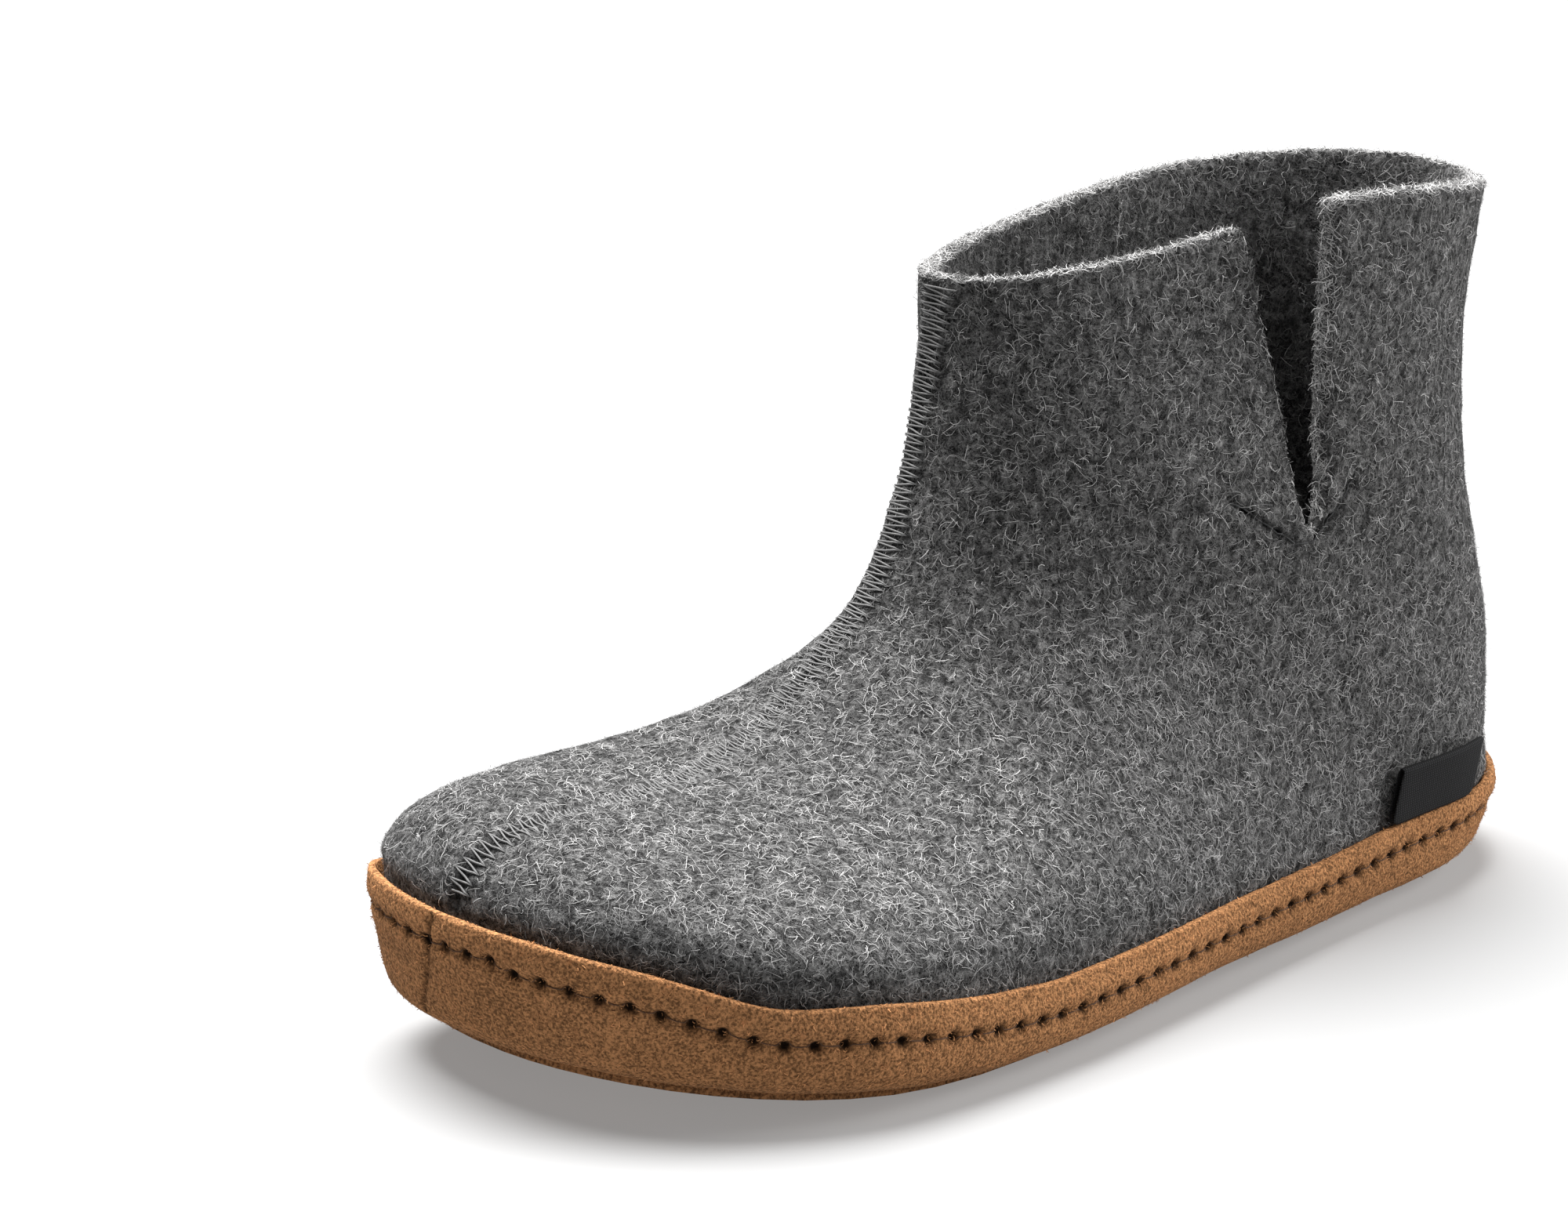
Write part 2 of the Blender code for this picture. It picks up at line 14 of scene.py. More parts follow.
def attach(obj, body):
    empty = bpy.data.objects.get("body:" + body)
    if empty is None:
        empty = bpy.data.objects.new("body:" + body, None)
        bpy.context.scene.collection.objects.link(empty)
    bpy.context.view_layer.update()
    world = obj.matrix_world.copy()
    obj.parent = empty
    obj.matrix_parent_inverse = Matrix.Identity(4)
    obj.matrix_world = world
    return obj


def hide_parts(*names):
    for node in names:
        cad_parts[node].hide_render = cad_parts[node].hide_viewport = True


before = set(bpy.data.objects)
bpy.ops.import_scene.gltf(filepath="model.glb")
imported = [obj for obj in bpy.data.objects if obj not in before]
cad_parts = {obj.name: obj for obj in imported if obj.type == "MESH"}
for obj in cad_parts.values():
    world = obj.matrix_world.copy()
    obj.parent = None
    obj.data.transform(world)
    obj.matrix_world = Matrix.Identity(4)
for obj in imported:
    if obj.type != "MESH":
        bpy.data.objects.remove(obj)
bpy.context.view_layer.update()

bl_info = {
    "name": "Felt slipper boot",
    "version": (1, 0, 0),
    "blender": (4, 5, 0),
    "location": "View3D > Sidebar > Slipper",
    "description": "Felt, suede, stitching and stage of a slipper boot",
    "category": "Object",
}

MM = 0.001
BODY = "root"
# Merging of a node's loose triangles into quads, and how many points are measured at a time
MERGE = 0.02 * MM
QUAD_ANGLE = math.radians(60)
BATCH = 4000

# Front seam of the felt in millimetres, from the collar down the instep to the toe: across, along, height
FRONT_SEAM = (
    (-10, -7, 134),
    (-12, -10, 116),
    (-13, -13, 99),
    (-12, -18, 87),
    (-12, -23, 78),
    (-13, -31, 69),
    (-11, -48, 59),
    (-9, -64, 53),
    (-6, -88, 51),
    (-8, -106, 51),
    (-10, -117, 49),
    (-12, -126, 43),
    (-13, -128, 38),
)
# Stitched line below the outer slit and the same line below the inner one, in millimetres
OUTER_STAY = ((27, 35, 90), (29, 42, 85), (32, 52, 78), (32, 59, 84), (33, 65, 92))
INNER_SIDE = -46
INNER_SLIT_BACK = 4
INNER_STAY = tuple((INNER_SIDE, along + INNER_SLIT_BACK, height) for _, along, height in OUTER_STAY)
# Upright join of the suede at the toe, in millimetres
TOE_JOIN = ((-16, -131, 35), (-20, -129, 25), (-24, -126, 17), (-27, -124, 12))

# Top edge of the suede in millimetres, drawn up round the toe and at the big toe's corner
WRAP_TOP = 18.5
WRAP_TOE_RISE = 17.6
WRAP_TOE_FROM = -30.25
WRAP_TOE_END = -131.75
BIG_TOE_RISE = 3.5
BIG_TOE_END = -74.25
BIG_TOE_POWER = 0.6
# Hand-trimmed edge on the outer side: an even trim along the foot and a notch behind the toe
EDGE_TRIM = 0.9
TRIM_FROM = -70.0
TRIM_RUN_IN = 30.0
TRIM_TO = 75.0
TRIM_RUN_OUT = 25.0
EDGE_NOTCH = 2.2
EDGE_NOTCH_Y = -100.0
EDGE_NOTCH_REACH = 11.0
EDGE_BLEND = 12.0
# Stitch line of the suede below its top edge, lower towards the toe
STITCH_DROP = 5.2
STITCH_DROP_TOE = 1.6
STITCH_DROP_FROM = 60.0
STITCH_DROP_RUN = 90.0
# Fans of rays that find the stitch line on the suede
FAN_HEEL = (1.8, 88.0)
FAN_TOE = (-2.0, -70.0)
FAN_STEPS = 90
SIDE_STEPS = 160
FAN_REACH = 150.0
FAN_ROUNDS = 4

# Dense paths on the felt and the suede
PATH_STEP = 0.4 * MM
RING_STEP = 0.5 * MM
# Cut edges: the angle from which an edge counts as one, and how sharp it stays
FELT_EDGE = (math.radians(55), 0.45)
SUEDE_EDGE = (math.radians(50), 0.5)
FOOTBED_EDGE = (math.radians(40), 0.6)
# Finer faces near each line: reach and number of cuts
SEAM_FINE = (4.5 * MM, 2)
STAY_FINE = (2.5 * MM, 3)
STITCH_FINE = (3.2 * MM, 3)
JOIN_FINE = (2.4 * MM, 2)
# Marks on the felt: the front seam's gap, the swell beside it and the painted shade in the gap, and the
# groove of a stay with painted shade in it
SEAM_GAP = 1.2 * MM
SEAM_SWELL = 2.4 * MM
SEAM_SWELL_SHARE = 0.35
SEAM_SHADE_REACH = 2.4 * MM
SEAM_SHADE = 0.75
STAY_GROOVE = 0.7 * MM
STAY_TUFT = 2.0 * MM
STAY_SHADE = 0.95
# Marks on the suede: the stitch groove, the swell beside it, the toe join and soft ripples, with painted
# shade in the holes, the groove and the join
HOLE_SHADE = 1.5
GROOVE_SHADE = 0.12
JOIN_SHADE = 0.75
GROOVE_REACH = 0.75 * MM
GROOVE_SWELL = 2.6 * MM
GROOVE_SWELL_REACH = 1.3 * MM
GROOVE_SWELL_RISE = 0.18 * MM
JOIN_REACH = 0.6 * MM
JOIN_DEPTH = 0.7 * MM
RIPPLE_SIZE = 11.0 * MM
RIPPLE_RISE = 0.22 * MM
# Uneven face of the footbed
FOOTBED_LUMP_SIZE = 12.0 * MM
FOOTBED_LUMP = 0.25 * MM
# Where loose fibres grow, in millimetres: lowest cut edge, lowest fibres inside, start of the shaft
# and of the heel; the front seam shows on the shaft and at the toe, and is covered between them
RIM_FROM = 75.0
INSIDE_FROM = 85.0
INSIDE_COVER = 0.45
SHAFT_FROM = 70.0
HEEL_FROM = -5.0
SHAFT_SEAM_FROM = -30.0
SHAFT_SEAM_COVER = 0.45
TOE_SEAM_END = -120.0
TOE_SEAM_RUN = 10.0
TOE_SEAM_COVER = 0.1
SEAM_CLEAR = 3.2 * MM
STAY_CLEAR = 1.2 * MM
STAY_COVER = 0.12
HOLE_CLEAR = 1.1 * MM
# Free run of a ray: off an outer face, into the felt behind a cut edge, and off the suede
OPEN_AIR = 120.0 * MM
RIM_REACH = 40.0 * MM
RIM_DEPTH = 7.0 * MM
NAP_AIR = 30.0 * MM
RAY_SLACK = 1.0 * MM
RAY_START = 0.2 * MM
# Loose fibres: direction that their headings are measured from, least lift, and width of a tuft of one tone
SLANT = (0.31, 0.52, 0.79)
FIBRE_LIFT = 0.06 * MM
TUFT_SIZE = 2.4 * MM

# Where felt buries the front seam's thread: depth, place and reach in millimetres, and how sharply it ends
SEAM_SINKS = ((0.55, -102.0, 11.0, 2), (0.3, -66.0, 28.0, 4))
# Shapes of single stitches: share or step along one, and lift off the surface in millimetres
ZIGZAG_ARCH = ((0.0, 0.08), (0.2, 0.30), (0.5, 0.40), (0.8, 0.30))
STAY_ARCH = ((0, -0.2), (1, 0.08), (2, 0.08), (3, -0.2))
WRAP_ARCH = ((0.04, -0.35), (0.2, 0.10), (0.5, 0.16), (0.8, 0.10), (0.96, -0.35))
ZIGZAG_WIDER = 0.3
ZIGZAG_UNEVEN = (0.88, 1.1)
STAY_STEP = 1.0 * MM
WRAP_THREAD = 0.13 * MM
GREY_THREAD = (0.22, 0.218, 0.216)
DARK_THREAD = (0.05, 0.05, 0.051)
BROWN_THREAD = (0.12, 0.06, 0.03)

# Softened edge of the outsole, and the ribbon: its wall, its fold, and where its rows and turns lie
SOLE_EDGE = 0.45 * MM
SOLE_EDGE_ANGLE = math.radians(40)
RIBBON_THICK = 0.42 * MM
RIBBON_FOLD = 0.7 * MM
RIBBON_ROWS = (0.0, 0.35, 0.7, 0.9)
RIBBON_TURNS = (0.0, 0.25, 0.5, 0.75, 1.0)

# Floor and lights, in metres
FLOOR_SIZE = 12.0
OVERHEAD_PLACE = (-0.34, 0.08, 0.94)
OVERHEAD_SPREAD = math.radians(46)
FRONT_PLACE = (1.2, -1.2, 0.9)
FRONT_AIM = (0.0, 0.0, 0.06)
SIDE_PLACE = (0.9, 1.3, 0.8)
SIDE_AIM = (0.0, 0.0, 0.08)
SOFTBOX_SIZE = 1.0

# Loose fibres: steps along one, then lengths, turn along one in radians, rise of those that lie and of those
# that stand, share that stands, widths and the spread of their tone; lengths in millimetres
FibreKind = collections.namedtuple("FibreKind", "steps length curl lie stand stand_share width tone")
WOOL = FibreKind(3, (1.2, 3.6), 1.9, (0.05, 0.40), (0.4, 1.3), 0.08, (0.07, 0.12), (1.1, 1.8))
RIM_WOOL = FibreKind(3, (1.5, 4.0), 2.0, (0.1, 0.5), (0.4, 1.3), 0.45, (0.12, 0.20), (1.6, 1.8))
NAP = FibreKind(2, (0.4, 1.1), 0.8, (0.05, 0.2), (0.2, 0.55), 0.25, (0.14, 0.24), (1.2, 1.6))


class FeltSettings(bpy.types.PropertyGroup):
    """Felt of the upper and the footbed."""

    lump: FloatProperty(
        name="Lump height", description="Unevenness of the felt's face", default=0.00028, unit="LENGTH")
    lump_size: FloatProperty(
        name="Lump size", description="Width of one lump", default=0.008, unit="LENGTH")
    dark: FloatVectorProperty(
        name="Ground", description="Darkest wool between the fibres", default=(0.009, 0.009, 0.0091),
        subtype="COLOR", size=3)
    light: FloatVectorProperty(
        name="Fibre", description="Light wool fibres", default=(0.84, 0.83, 0.82), subtype="COLOR", size=3)
    fibres: IntProperty(
        name="Loose fibres", description="Loose fibres on each third of the boot", default=29000)
    rim_fibres: IntProperty(
        name="Rim fibres", description="Loose fibres on the cut edges of collar and slits", default=7000)
    seam_depth: FloatProperty(
        name="Seam depth", description="Depth of the gap along the front seam", default=0.0004, unit="LENGTH")
    stay_depth: FloatProperty(
        name="Stay depth", description="Depth of the stitched line below a slit", default=0.0008,
        unit="LENGTH")


class SuedeSettings(bpy.types.PropertyGroup):
    """Suede wrap round the foot."""

    tan: FloatVectorProperty(
        name="Suede", description="Colour of the suede", default=(0.40, 0.192, 0.082),
        subtype="COLOR", size=3)
    pitch: FloatProperty(
        name="Stitch pitch", description="Distance between stitch holes", default=0.0058, unit="LENGTH")
    hole: FloatProperty(
        name="Hole size", description="Radius of a stitch hole", default=0.0012, unit="LENGTH")
    hole_depth: FloatProperty(
        name="Hole depth", description="Depth of a stitch hole", default=0.0012, unit="LENGTH")
    groove: FloatProperty(
        name="Groove depth", description="Depth of the line the thread lies in", default=0.0003,
        unit="LENGTH")
    nap: IntProperty(name="Nap", description="Loose fibres of the suede's nap", default=20000)


class StitchSettings(bpy.types.PropertyGroup):
    """Thread of the felt seams."""

    zigzag: FloatProperty(
        name="Zigzag pitch", description="Length of one zigzag at the collar", default=0.0016, unit="LENGTH")
    zigzag_toe: FloatProperty(
        name="Zigzag pitch at the toe", description="Length of one zigzag at the toe", default=0.0020,
        unit="LENGTH")
    half_width: FloatProperty(
        name="Half width", description="Reach of the zigzag to each side of the seam", default=0.0031,
        unit="LENGTH")
    thread: FloatProperty(
        name="Thread", description="Radius of the thread", default=0.0002, unit="LENGTH")


class StageSettings(bpy.types.PropertyGroup):
    """Camera, floor and lights."""

    camera: FloatVectorProperty(
        name="Camera place", description="Where the camera stands", default=(0.70160, -0.73340, 0.36244),
        subtype="TRANSLATION", size=3)
    azimuth: FloatProperty(
        name="Azimuth", description="Turn of the camera round the boot", default=math.radians(46.103),
        subtype="ANGLE")
    elevation: FloatProperty(
        name="Elevation", description="How far the camera looks down", default=math.radians(16.047),
        subtype="ANGLE")
    lens: FloatProperty(
        name="Lens", description="Focal length for a 36 mm sensor, in millimetres", default=126.07)
    overhead: FloatProperty(
        name="Overhead light", description="Strength of the soft light from above", default=8.8)
    front: FloatProperty(
        name="Front light", description="Power of the soft light from the front, in watts", default=2.0)
    side: FloatProperty(
        name="Side light", description="Power of the soft light behind the outer side, in watts",
        default=26.0)
    sky: FloatProperty(
        name="Surroundings", description="Strength of the even light all round", default=0.05)


class BootSettings(bpy.types.PropertyGroup):
    """All settings of the boot."""

    felt: PointerProperty(type=FeltSettings)
    suede: PointerProperty(type=SuedeSettings)
    stitch: PointerProperty(type=StitchSettings)
    stage: PointerProperty(type=StageSettings)


def select_only(piece):
    if bpy.context.mode != "OBJECT":
        bpy.ops.object.mode_set(mode="OBJECT")
    bpy.ops.object.select_all(action="DESELECT")
    piece.select_set(True)
    bpy.context.view_layer.objects.active = piece


def link(name, mesh):
    piece = bpy.data.objects.new(name, mesh)
    bpy.context.scene.collection.objects.link(piece)
    return piece


def copy_of_node(node, name):
    """New piece with a node's shape, its loose triangles merged and turned back into quads."""
    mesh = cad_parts[node].data.copy()
    mesh.name = name
    mesh.materials.clear()
    piece = link(name, mesh)
    select_only(piece)
    bpy.ops.object.mode_set(mode="EDIT")
    bpy.ops.mesh.select_all(action="SELECT")
    bpy.ops.mesh.remove_doubles(threshold=MERGE)
    bpy.ops.mesh.tris_convert_to_quads(face_threshold=QUAD_ANGLE, shape_threshold=QUAD_ANGLE)
    bpy.ops.mesh.select_all(action="DESELECT")
    bpy.ops.object.mode_set(mode="OBJECT")
    return piece


def crease_sharp_edges(piece, angle, crease):
    select_only(piece)
    bpy.ops.object.mode_set(mode="EDIT")
    bpy.ops.mesh.select_mode(type="EDGE")
    bpy.ops.mesh.select_all(action="DESELECT")
    bpy.ops.mesh.edges_select_sharp(sharpness=angle)
    bpy.ops.transform.edge_crease(value=crease)
    bpy.ops.mesh.select_all(action="DESELECT")
    bpy.ops.object.mode_set(mode="OBJECT")


def subdivide_smooth(piece, levels):
    select_only(piece)
    smooth = piece.modifiers.new("smooth", "SUBSURF")
    smooth.levels = levels
    smooth.render_levels = levels
    bpy.ops.object.modifier_apply(modifier=smooth.name)
    bpy.ops.object.shade_smooth()


def refine_near(piece, path, reach, cuts):
    """Cuts the faces that lie within reach of a path into smaller ones."""
    select_only(piece)
    centres = np.array([p.center for p in piece.data.polygons])
    near = distance_to(centres, path)[0] < reach
    piece.data.polygons.foreach_set("select", near)
    bpy.ops.object.mode_set(mode="EDIT")
    bpy.ops.mesh.select_mode(type="FACE")
    bpy.ops.object.mode_set(mode="OBJECT")
    piece.data.polygons.foreach_set("select", near)
    bpy.ops.object.mode_set(mode="EDIT")
    bpy.ops.mesh.subdivide(number_cuts=cuts, smoothness=0.0)
    bpy.ops.mesh.select_all(action="DESELECT")
    bpy.ops.object.mode_set(mode="OBJECT")


def mesh_points(piece):
    mesh = piece.data
    points = np.zeros(len(mesh.vertices) * 3)
    mesh.vertices.foreach_get("co", points)
    normals = np.zeros(len(mesh.vertices) * 3)
    mesh.vertices.foreach_get("normal", normals)
    return points.reshape(-1, 3), normals.reshape(-1, 3)


def move_points(piece, points):
    piece.data.vertices.foreach_set("co", points.ravel())
    piece.data.update()


def surface_of(piece):
    mesh = piece.data
    return BVHTree.FromPolygons([v.co for v in mesh.vertices], [tuple(p.vertices) for p in mesh.polygons])


def metres(points):
    return np.array(points, dtype=float) * MM


def clamp(value):
    return min(1.0, max(0.0, value))


def shade(colour, share):
    """Colour made darker or lighter."""
    return tuple(min(1.0, c * share) for c in colour)


def bell(distance, reach):
    """1 at no distance, falling softly to 0 past reach."""
    return np.exp(-(distance / reach) ** 2)


def resample(points, pitch):
    """Points at an even pitch along a polyline."""
    points = np.asarray(points, dtype=float)
    steps = np.linalg.norm(np.diff(points, axis=0), axis=1)
    run = np.concatenate(([0.0], np.cumsum(steps)))
    count = max(2, int(round(run[-1] / pitch)) + 1)
    wanted = np.linspace(0.0, run[-1], count)
    return np.stack([np.interp(wanted, run, points[:, i]) for i in range(3)], axis=1)


def rounded(points, rounds=3):
    """Polyline with its corners cut, ends kept."""
    points = np.asarray(points, dtype=float)
    for _ in range(rounds):
        first = points[:-1] * 0.75 + points[1:] * 0.25
        second = points[:-1] * 0.25 + points[1:] * 0.75
        inner = np.stack((first, second), axis=1).reshape(-1, 3)
        points = np.concatenate((points[:1], inner, points[-1:]))
    return points


def distance_to(points, path):
    """Distance of each point to the nearest point of a dense path, and that point's index."""
    best = np.full(len(points), np.inf)
    index = np.zeros(len(points), dtype=int)
    for start in range(0, len(points), BATCH):
        some = slice(start, start + BATCH)
        away = np.linalg.norm(points[some, None, :] - path[None, :, :], axis=2)
        index[some] = away.argmin(axis=1)
        best[some] = away.min(axis=1)
    return best, index


def laid_on(surface, path):
    """Path drawn on to a surface, with the surface's normal at each point."""
    places = []
    normals = []
    for point in path:
        place, normal, _, _ = surface.find_nearest(Vector(point))
        places.append(place)
        normals.append(normal)
    return np.array(places), np.array(normals)


def set_attribute(piece, name, values):
    attribute = piece.data.attributes.new(name, "FLOAT", "POINT")
    attribute.data.foreach_set("value", np.asarray(values, dtype=np.float32))


def finish_piece(piece, material, node=None):
    """Gives a piece its material and its place in the frame."""
    piece.data.materials.clear()
    piece.data.materials.append(material)
    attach(piece, BODY)
    if node:
        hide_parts(node)
    return piece


def thread_piece(name, lines, radius):
    """Threads along polylines, swept as a bevelled curve and made a mesh."""
    curve = bpy.data.curves.new(name, "CURVE")
    curve.dimensions = "3D"
    curve.bevel_depth = radius
    curve.bevel_resolution = 1
    curve.use_fill_caps = True
    for line in lines:
        spline = curve.splines.new("POLY")
        spline.points.add(len(line) - 1)
        for point, place in zip(spline.points, line):
            point.co = (*place, 1.0)
    piece = link(name, curve)
    select_only(piece)
    bpy.ops.object.convert(target="MESH")
    piece = bpy.context.view_layer.objects.active
    bpy.ops.object.shade_smooth()
    return piece


def new_material(name, roughness, gloss=0.5):
    """Material with its nodes, links and shader."""
    material = bpy.data.materials.new(name)
    material.use_nodes = True
    nodes, links = material.node_tree.nodes, material.node_tree.links
    surface = nodes["Principled BSDF"]
    surface.inputs["Roughness"].default_value = roughness
    surface.inputs["Specular IOR Level"].default_value = gloss
    return material, nodes, links, surface


def object_place(nodes):
    return nodes.new("ShaderNodeTexCoord").outputs["Object"]


def noise_at(nodes, links, place, **values):
    texture = add_node(nodes, "ShaderNodeTexNoise", **values)
    links.new(place, texture.inputs["Vector"])
    return texture.outputs["Fac"]


def ranged(nodes, links, value, **limits):
    node = add_node(nodes, "ShaderNodeMapRange", **limits)
    links.new(value, node.inputs["Value"])
    return node.outputs["Result"]


def add_node(nodes, kind, **values):
    """Node with its settings and the values of its input sockets."""
    node = nodes.new(kind)
    for name, value in values.items():
        if hasattr(node, name):
            setattr(node, name, value)
        else:
            node.inputs[name.replace("_", " ").title()].default_value = value
    return node


def math_node(nodes, links, operation, first, second=None):
    node = nodes.new("ShaderNodeMath")
    node.operation = operation
    for socket, value in zip(node.inputs, (first, second)):
        if value is None:
            continue
        if isinstance(value, (int, float)):
            socket.default_value = value
        else:
            links.new(value, socket)
    return node.outputs[0]


def mix_colour(nodes, links, share, first, second):
    node = nodes.new("ShaderNodeMix")
    node.data_type = "RGBA"
    for socket, value in ((node.inputs[0], share), (node.inputs[6], first), (node.inputs[7], second)):
        if isinstance(value, tuple):
            socket.default_value = (*value, 1.0)
        elif isinstance(value, float):
            socket.default_value = value
        else:
            links.new(value, socket)
    return node.outputs[2]


def group_of(name, inputs, outputs):
    group = bpy.data.node_groups.new(name, "ShaderNodeTree")
    for title, kind, value in inputs:
        socket = group.interface.new_socket(title, in_out="INPUT", socket_type=kind)
        if value is not None:
            socket.default_value = value
    for title, kind in outputs:
        group.interface.new_socket(title, in_out="OUTPUT", socket_type=kind)
    start = group.nodes.new("NodeGroupInput")
    end = group.nodes.new("NodeGroupOutput")
    return group, start, end


def curled_fibre_group():
    """Thin curling lines, as of matted wool, at a given size."""
    if "curled_fibres" in bpy.data.node_groups:
        return bpy.data.node_groups["curled_fibres"]
    group, start, end = group_of(
        "curled_fibres",
        (("Vector", "NodeSocketVector", None), ("Scale", "NodeSocketFloat", 300.0),
         ("Width", "NodeSocketFloat", 0.03)),
        (("Mask", "NodeSocketFloat"),),
    )
    nodes, links = group.nodes, group.links
    cloud = add_node(nodes, "ShaderNodeTexNoise", detail=2.0, roughness=0.55, distortion=1.4)
    for name in ("Vector", "Scale"):
        links.new(start.outputs[name], cloud.inputs[name])
    off = math_node(nodes, links, "SUBTRACT", cloud.outputs["Fac"], 0.5)
    off = math_node(nodes, links, "ABSOLUTE", off)
    share = math_node(nodes, links, "DIVIDE", off, start.outputs["Width"])
    line = math_node(nodes, links, "SUBTRACT", 1.0, share)
    line = math_node(nodes, links, "MAXIMUM", line, 0.0)
    links.new(line, end.inputs["Mask"])
    return group


def nap_group():
    """Short nap of suede: a fine tooth, brushed streaks and broad soft patches."""
    if "suede_nap" in bpy.data.node_groups:
        return bpy.data.node_groups["suede_nap"]
    group, start, end = group_of(
        "suede_nap",
        (("Vector", "NodeSocketVector", None), ("Scale", "NodeSocketFloat", 1.0)),
        (("Tone", "NodeSocketFloat"), ("Height", "NodeSocketFloat")),
    )
    nodes, links = group.nodes, group.links
    spot = nodes.new("ShaderNodeVectorMath")
    spot.operation = "SCALE"
    links.new(start.outputs["Vector"], spot.inputs[0])
    links.new(start.outputs["Scale"], spot.inputs["Scale"])
    place = spot.outputs[0]
    tooth = noise_at(nodes, links, place, scale=1700.0, detail=2.0, roughness=0.6)
    brushed = noise_at(nodes, links, place, scale=240.0, detail=4.0, roughness=0.6, distortion=0.6)
    patch = noise_at(nodes, links, place, scale=34.0, detail=2.0, roughness=0.5)
    fine = math_node(nodes, links, "MULTIPLY", tooth, 0.80)
    middle = math_node(nodes, links, "MULTIPLY", brushed, 0.12)
    broad = math_node(nodes, links, "MULTIPLY", patch, 0.08)
    height = math_node(nodes, links, "ADD", fine, middle)
    links.new(math_node(nodes, links, "ADD", height, broad), end.inputs["Tone"])
    links.new(height, end.inputs["Height"])
    return group


def placed_group(nodes, links, group, vector, **values):
    node = nodes.new("ShaderNodeGroup")
    node.node_tree = group
    links.new(vector, node.inputs["Vector"])
    for name, value in values.items():
        node.inputs[name.title()].default_value = value
    return node


def bump_into(nodes, links, surface, height, strength, distance):
    bump = add_node(nodes, "ShaderNodeBump", strength=strength, distance=distance)
    links.new(height, bump.inputs["Height"])
    links.new(bump.outputs["Normal"], surface.inputs["Normal"])


def felt_material(name, settings, lift=1.0):
    """Matted wool: dark ground, mottled patches of lighter wool and curling fibres; painted shade darkens the
    seam gap and the stitched grooves.
    """
    material, nodes, links, surface = new_material(name, 0.95, 0.1)
    place = object_place(nodes)
    lines = None
    for scale, width in ((480.0, 0.045), (760.0, 0.055), (1200.0, 0.07)):
        fibres = placed_group(nodes, links, curled_fibre_group(), place, scale=scale, width=width)
        mask = fibres.outputs["Mask"]
        lines = mask if lines is None else math_node(nodes, links, "MAXIMUM", lines, mask)
    patch = noise_at(nodes, links, place, scale=850.0, detail=3.0, roughness=0.65)
    spread = ranged(nodes, links, patch, from_min=0.46, from_max=0.58, to_min=0.0, to_max=0.12)
    mottle = noise_at(nodes, links, place, scale=420.0, detail=4.0, roughness=0.7)
    strength = ranged(nodes, links, mottle, from_min=0.38, from_max=0.64, to_min=0.4, to_max=1.7)
    pale = math_node(nodes, links, "ADD", spread, math_node(nodes, links, "MULTIPLY", lines, 0.22))
    share = math_node(nodes, links, "MULTIPLY", pale, strength)
    wool = mix_colour(nodes, links, share, shade(settings.dark, lift), shade(settings.light, lift))
    # Painted shade in the front seam's gap and in the stitched grooves, read from the seam attribute
    painted_shade = add_node(nodes, "ShaderNodeAttribute", attribute_name="seam")
    colour = mix_colour(nodes, links, painted_shade.outputs["Fac"], wool, (0.004, 0.004, 0.004))
    links.new(colour, surface.inputs["Base Color"])
    bump_into(nodes, links, surface, math_node(nodes, links, "ADD", lines, patch), 0.8, 0.0006)
    return material


def strand_material(name, dark, light):
    """Loose fibres, each with its own tone between dark and light."""
    material, nodes, links, surface = new_material(name, 0.85, 0.15)
    tone = add_node(nodes, "ShaderNodeAttribute", attribute_name="tone")
    links.new(mix_colour(nodes, links, tone.outputs["Fac"], dark, light), surface.inputs["Base Color"])
    return material


def suede_material(name, tan, stitched):
    """Suede with its nap; painted shade from an attribute darkens the stitch holes, the line between them and
    the toe join.
    """
    material, nodes, links, surface = new_material(name, 0.95, 0.12)
    nap = placed_group(nodes, links, nap_group(), object_place(nodes), scale=1.0)
    tone = ranged(nodes, links, nap.outputs["Tone"], from_min=0.39, from_max=0.61)
    colour = mix_colour(nodes, links, tone, shade(tan, 0.46), shade(tan, 1.65))
    if stitched:
        # Painted shade in the stitch holes, the groove between them and the toe join, read from the stitch
        # attribute
        painted_shade = add_node(nodes, "ShaderNodeAttribute", attribute_name="stitch")
        colour = mix_colour(nodes, links, painted_shade.outputs["Fac"], colour, shade(tan, 0.03))
    links.new(colour, surface.inputs["Base Color"])
    bump_into(nodes, links, surface, nap.outputs["Height"], 1.0, 0.0007)
    return material


def thread_material(name, colour):
    """Twisted thread with a little unevenness in its ply."""
    material, nodes, links, surface = new_material(name, 0.75)
    ply = noise_at(nodes, links, object_place(nodes), scale=2600.0, detail=2.0)
    twist = mix_colour(nodes, links, ply, shade(colour, 0.55), shade(colour, 1.4))
    links.new(twist, surface.inputs["Base Color"])
    bump_into(nodes, links, surface, ply, 0.4, 0.0002)
    return material


def woven_material():
    """Black ribbon: fine ribs of its weave."""
    material, nodes, links, surface = new_material("black_ribbon", 0.8, 0.25)
    place = object_place(nodes)
    threads = []
    for scale, direction in ((620.0, "Z"), (480.0, "Y")):
        wave = add_node(nodes, "ShaderNodeTexWave", scale=scale, distortion=0.6, detail=1.0)
        wave.bands_direction = direction
        links.new(place, wave.inputs["Vector"])
        threads.append(wave.outputs["Fac"])
    weave = math_node(nodes, links, "MULTIPLY", *threads)
    colour = mix_colour(nodes, links, weave, (0.006, 0.006, 0.0065), (0.026, 0.026, 0.028))
    links.new(colour, surface.inputs["Base Color"])
    bump_into(nodes, links, surface, weave, 0.5, 0.0003)
    return material


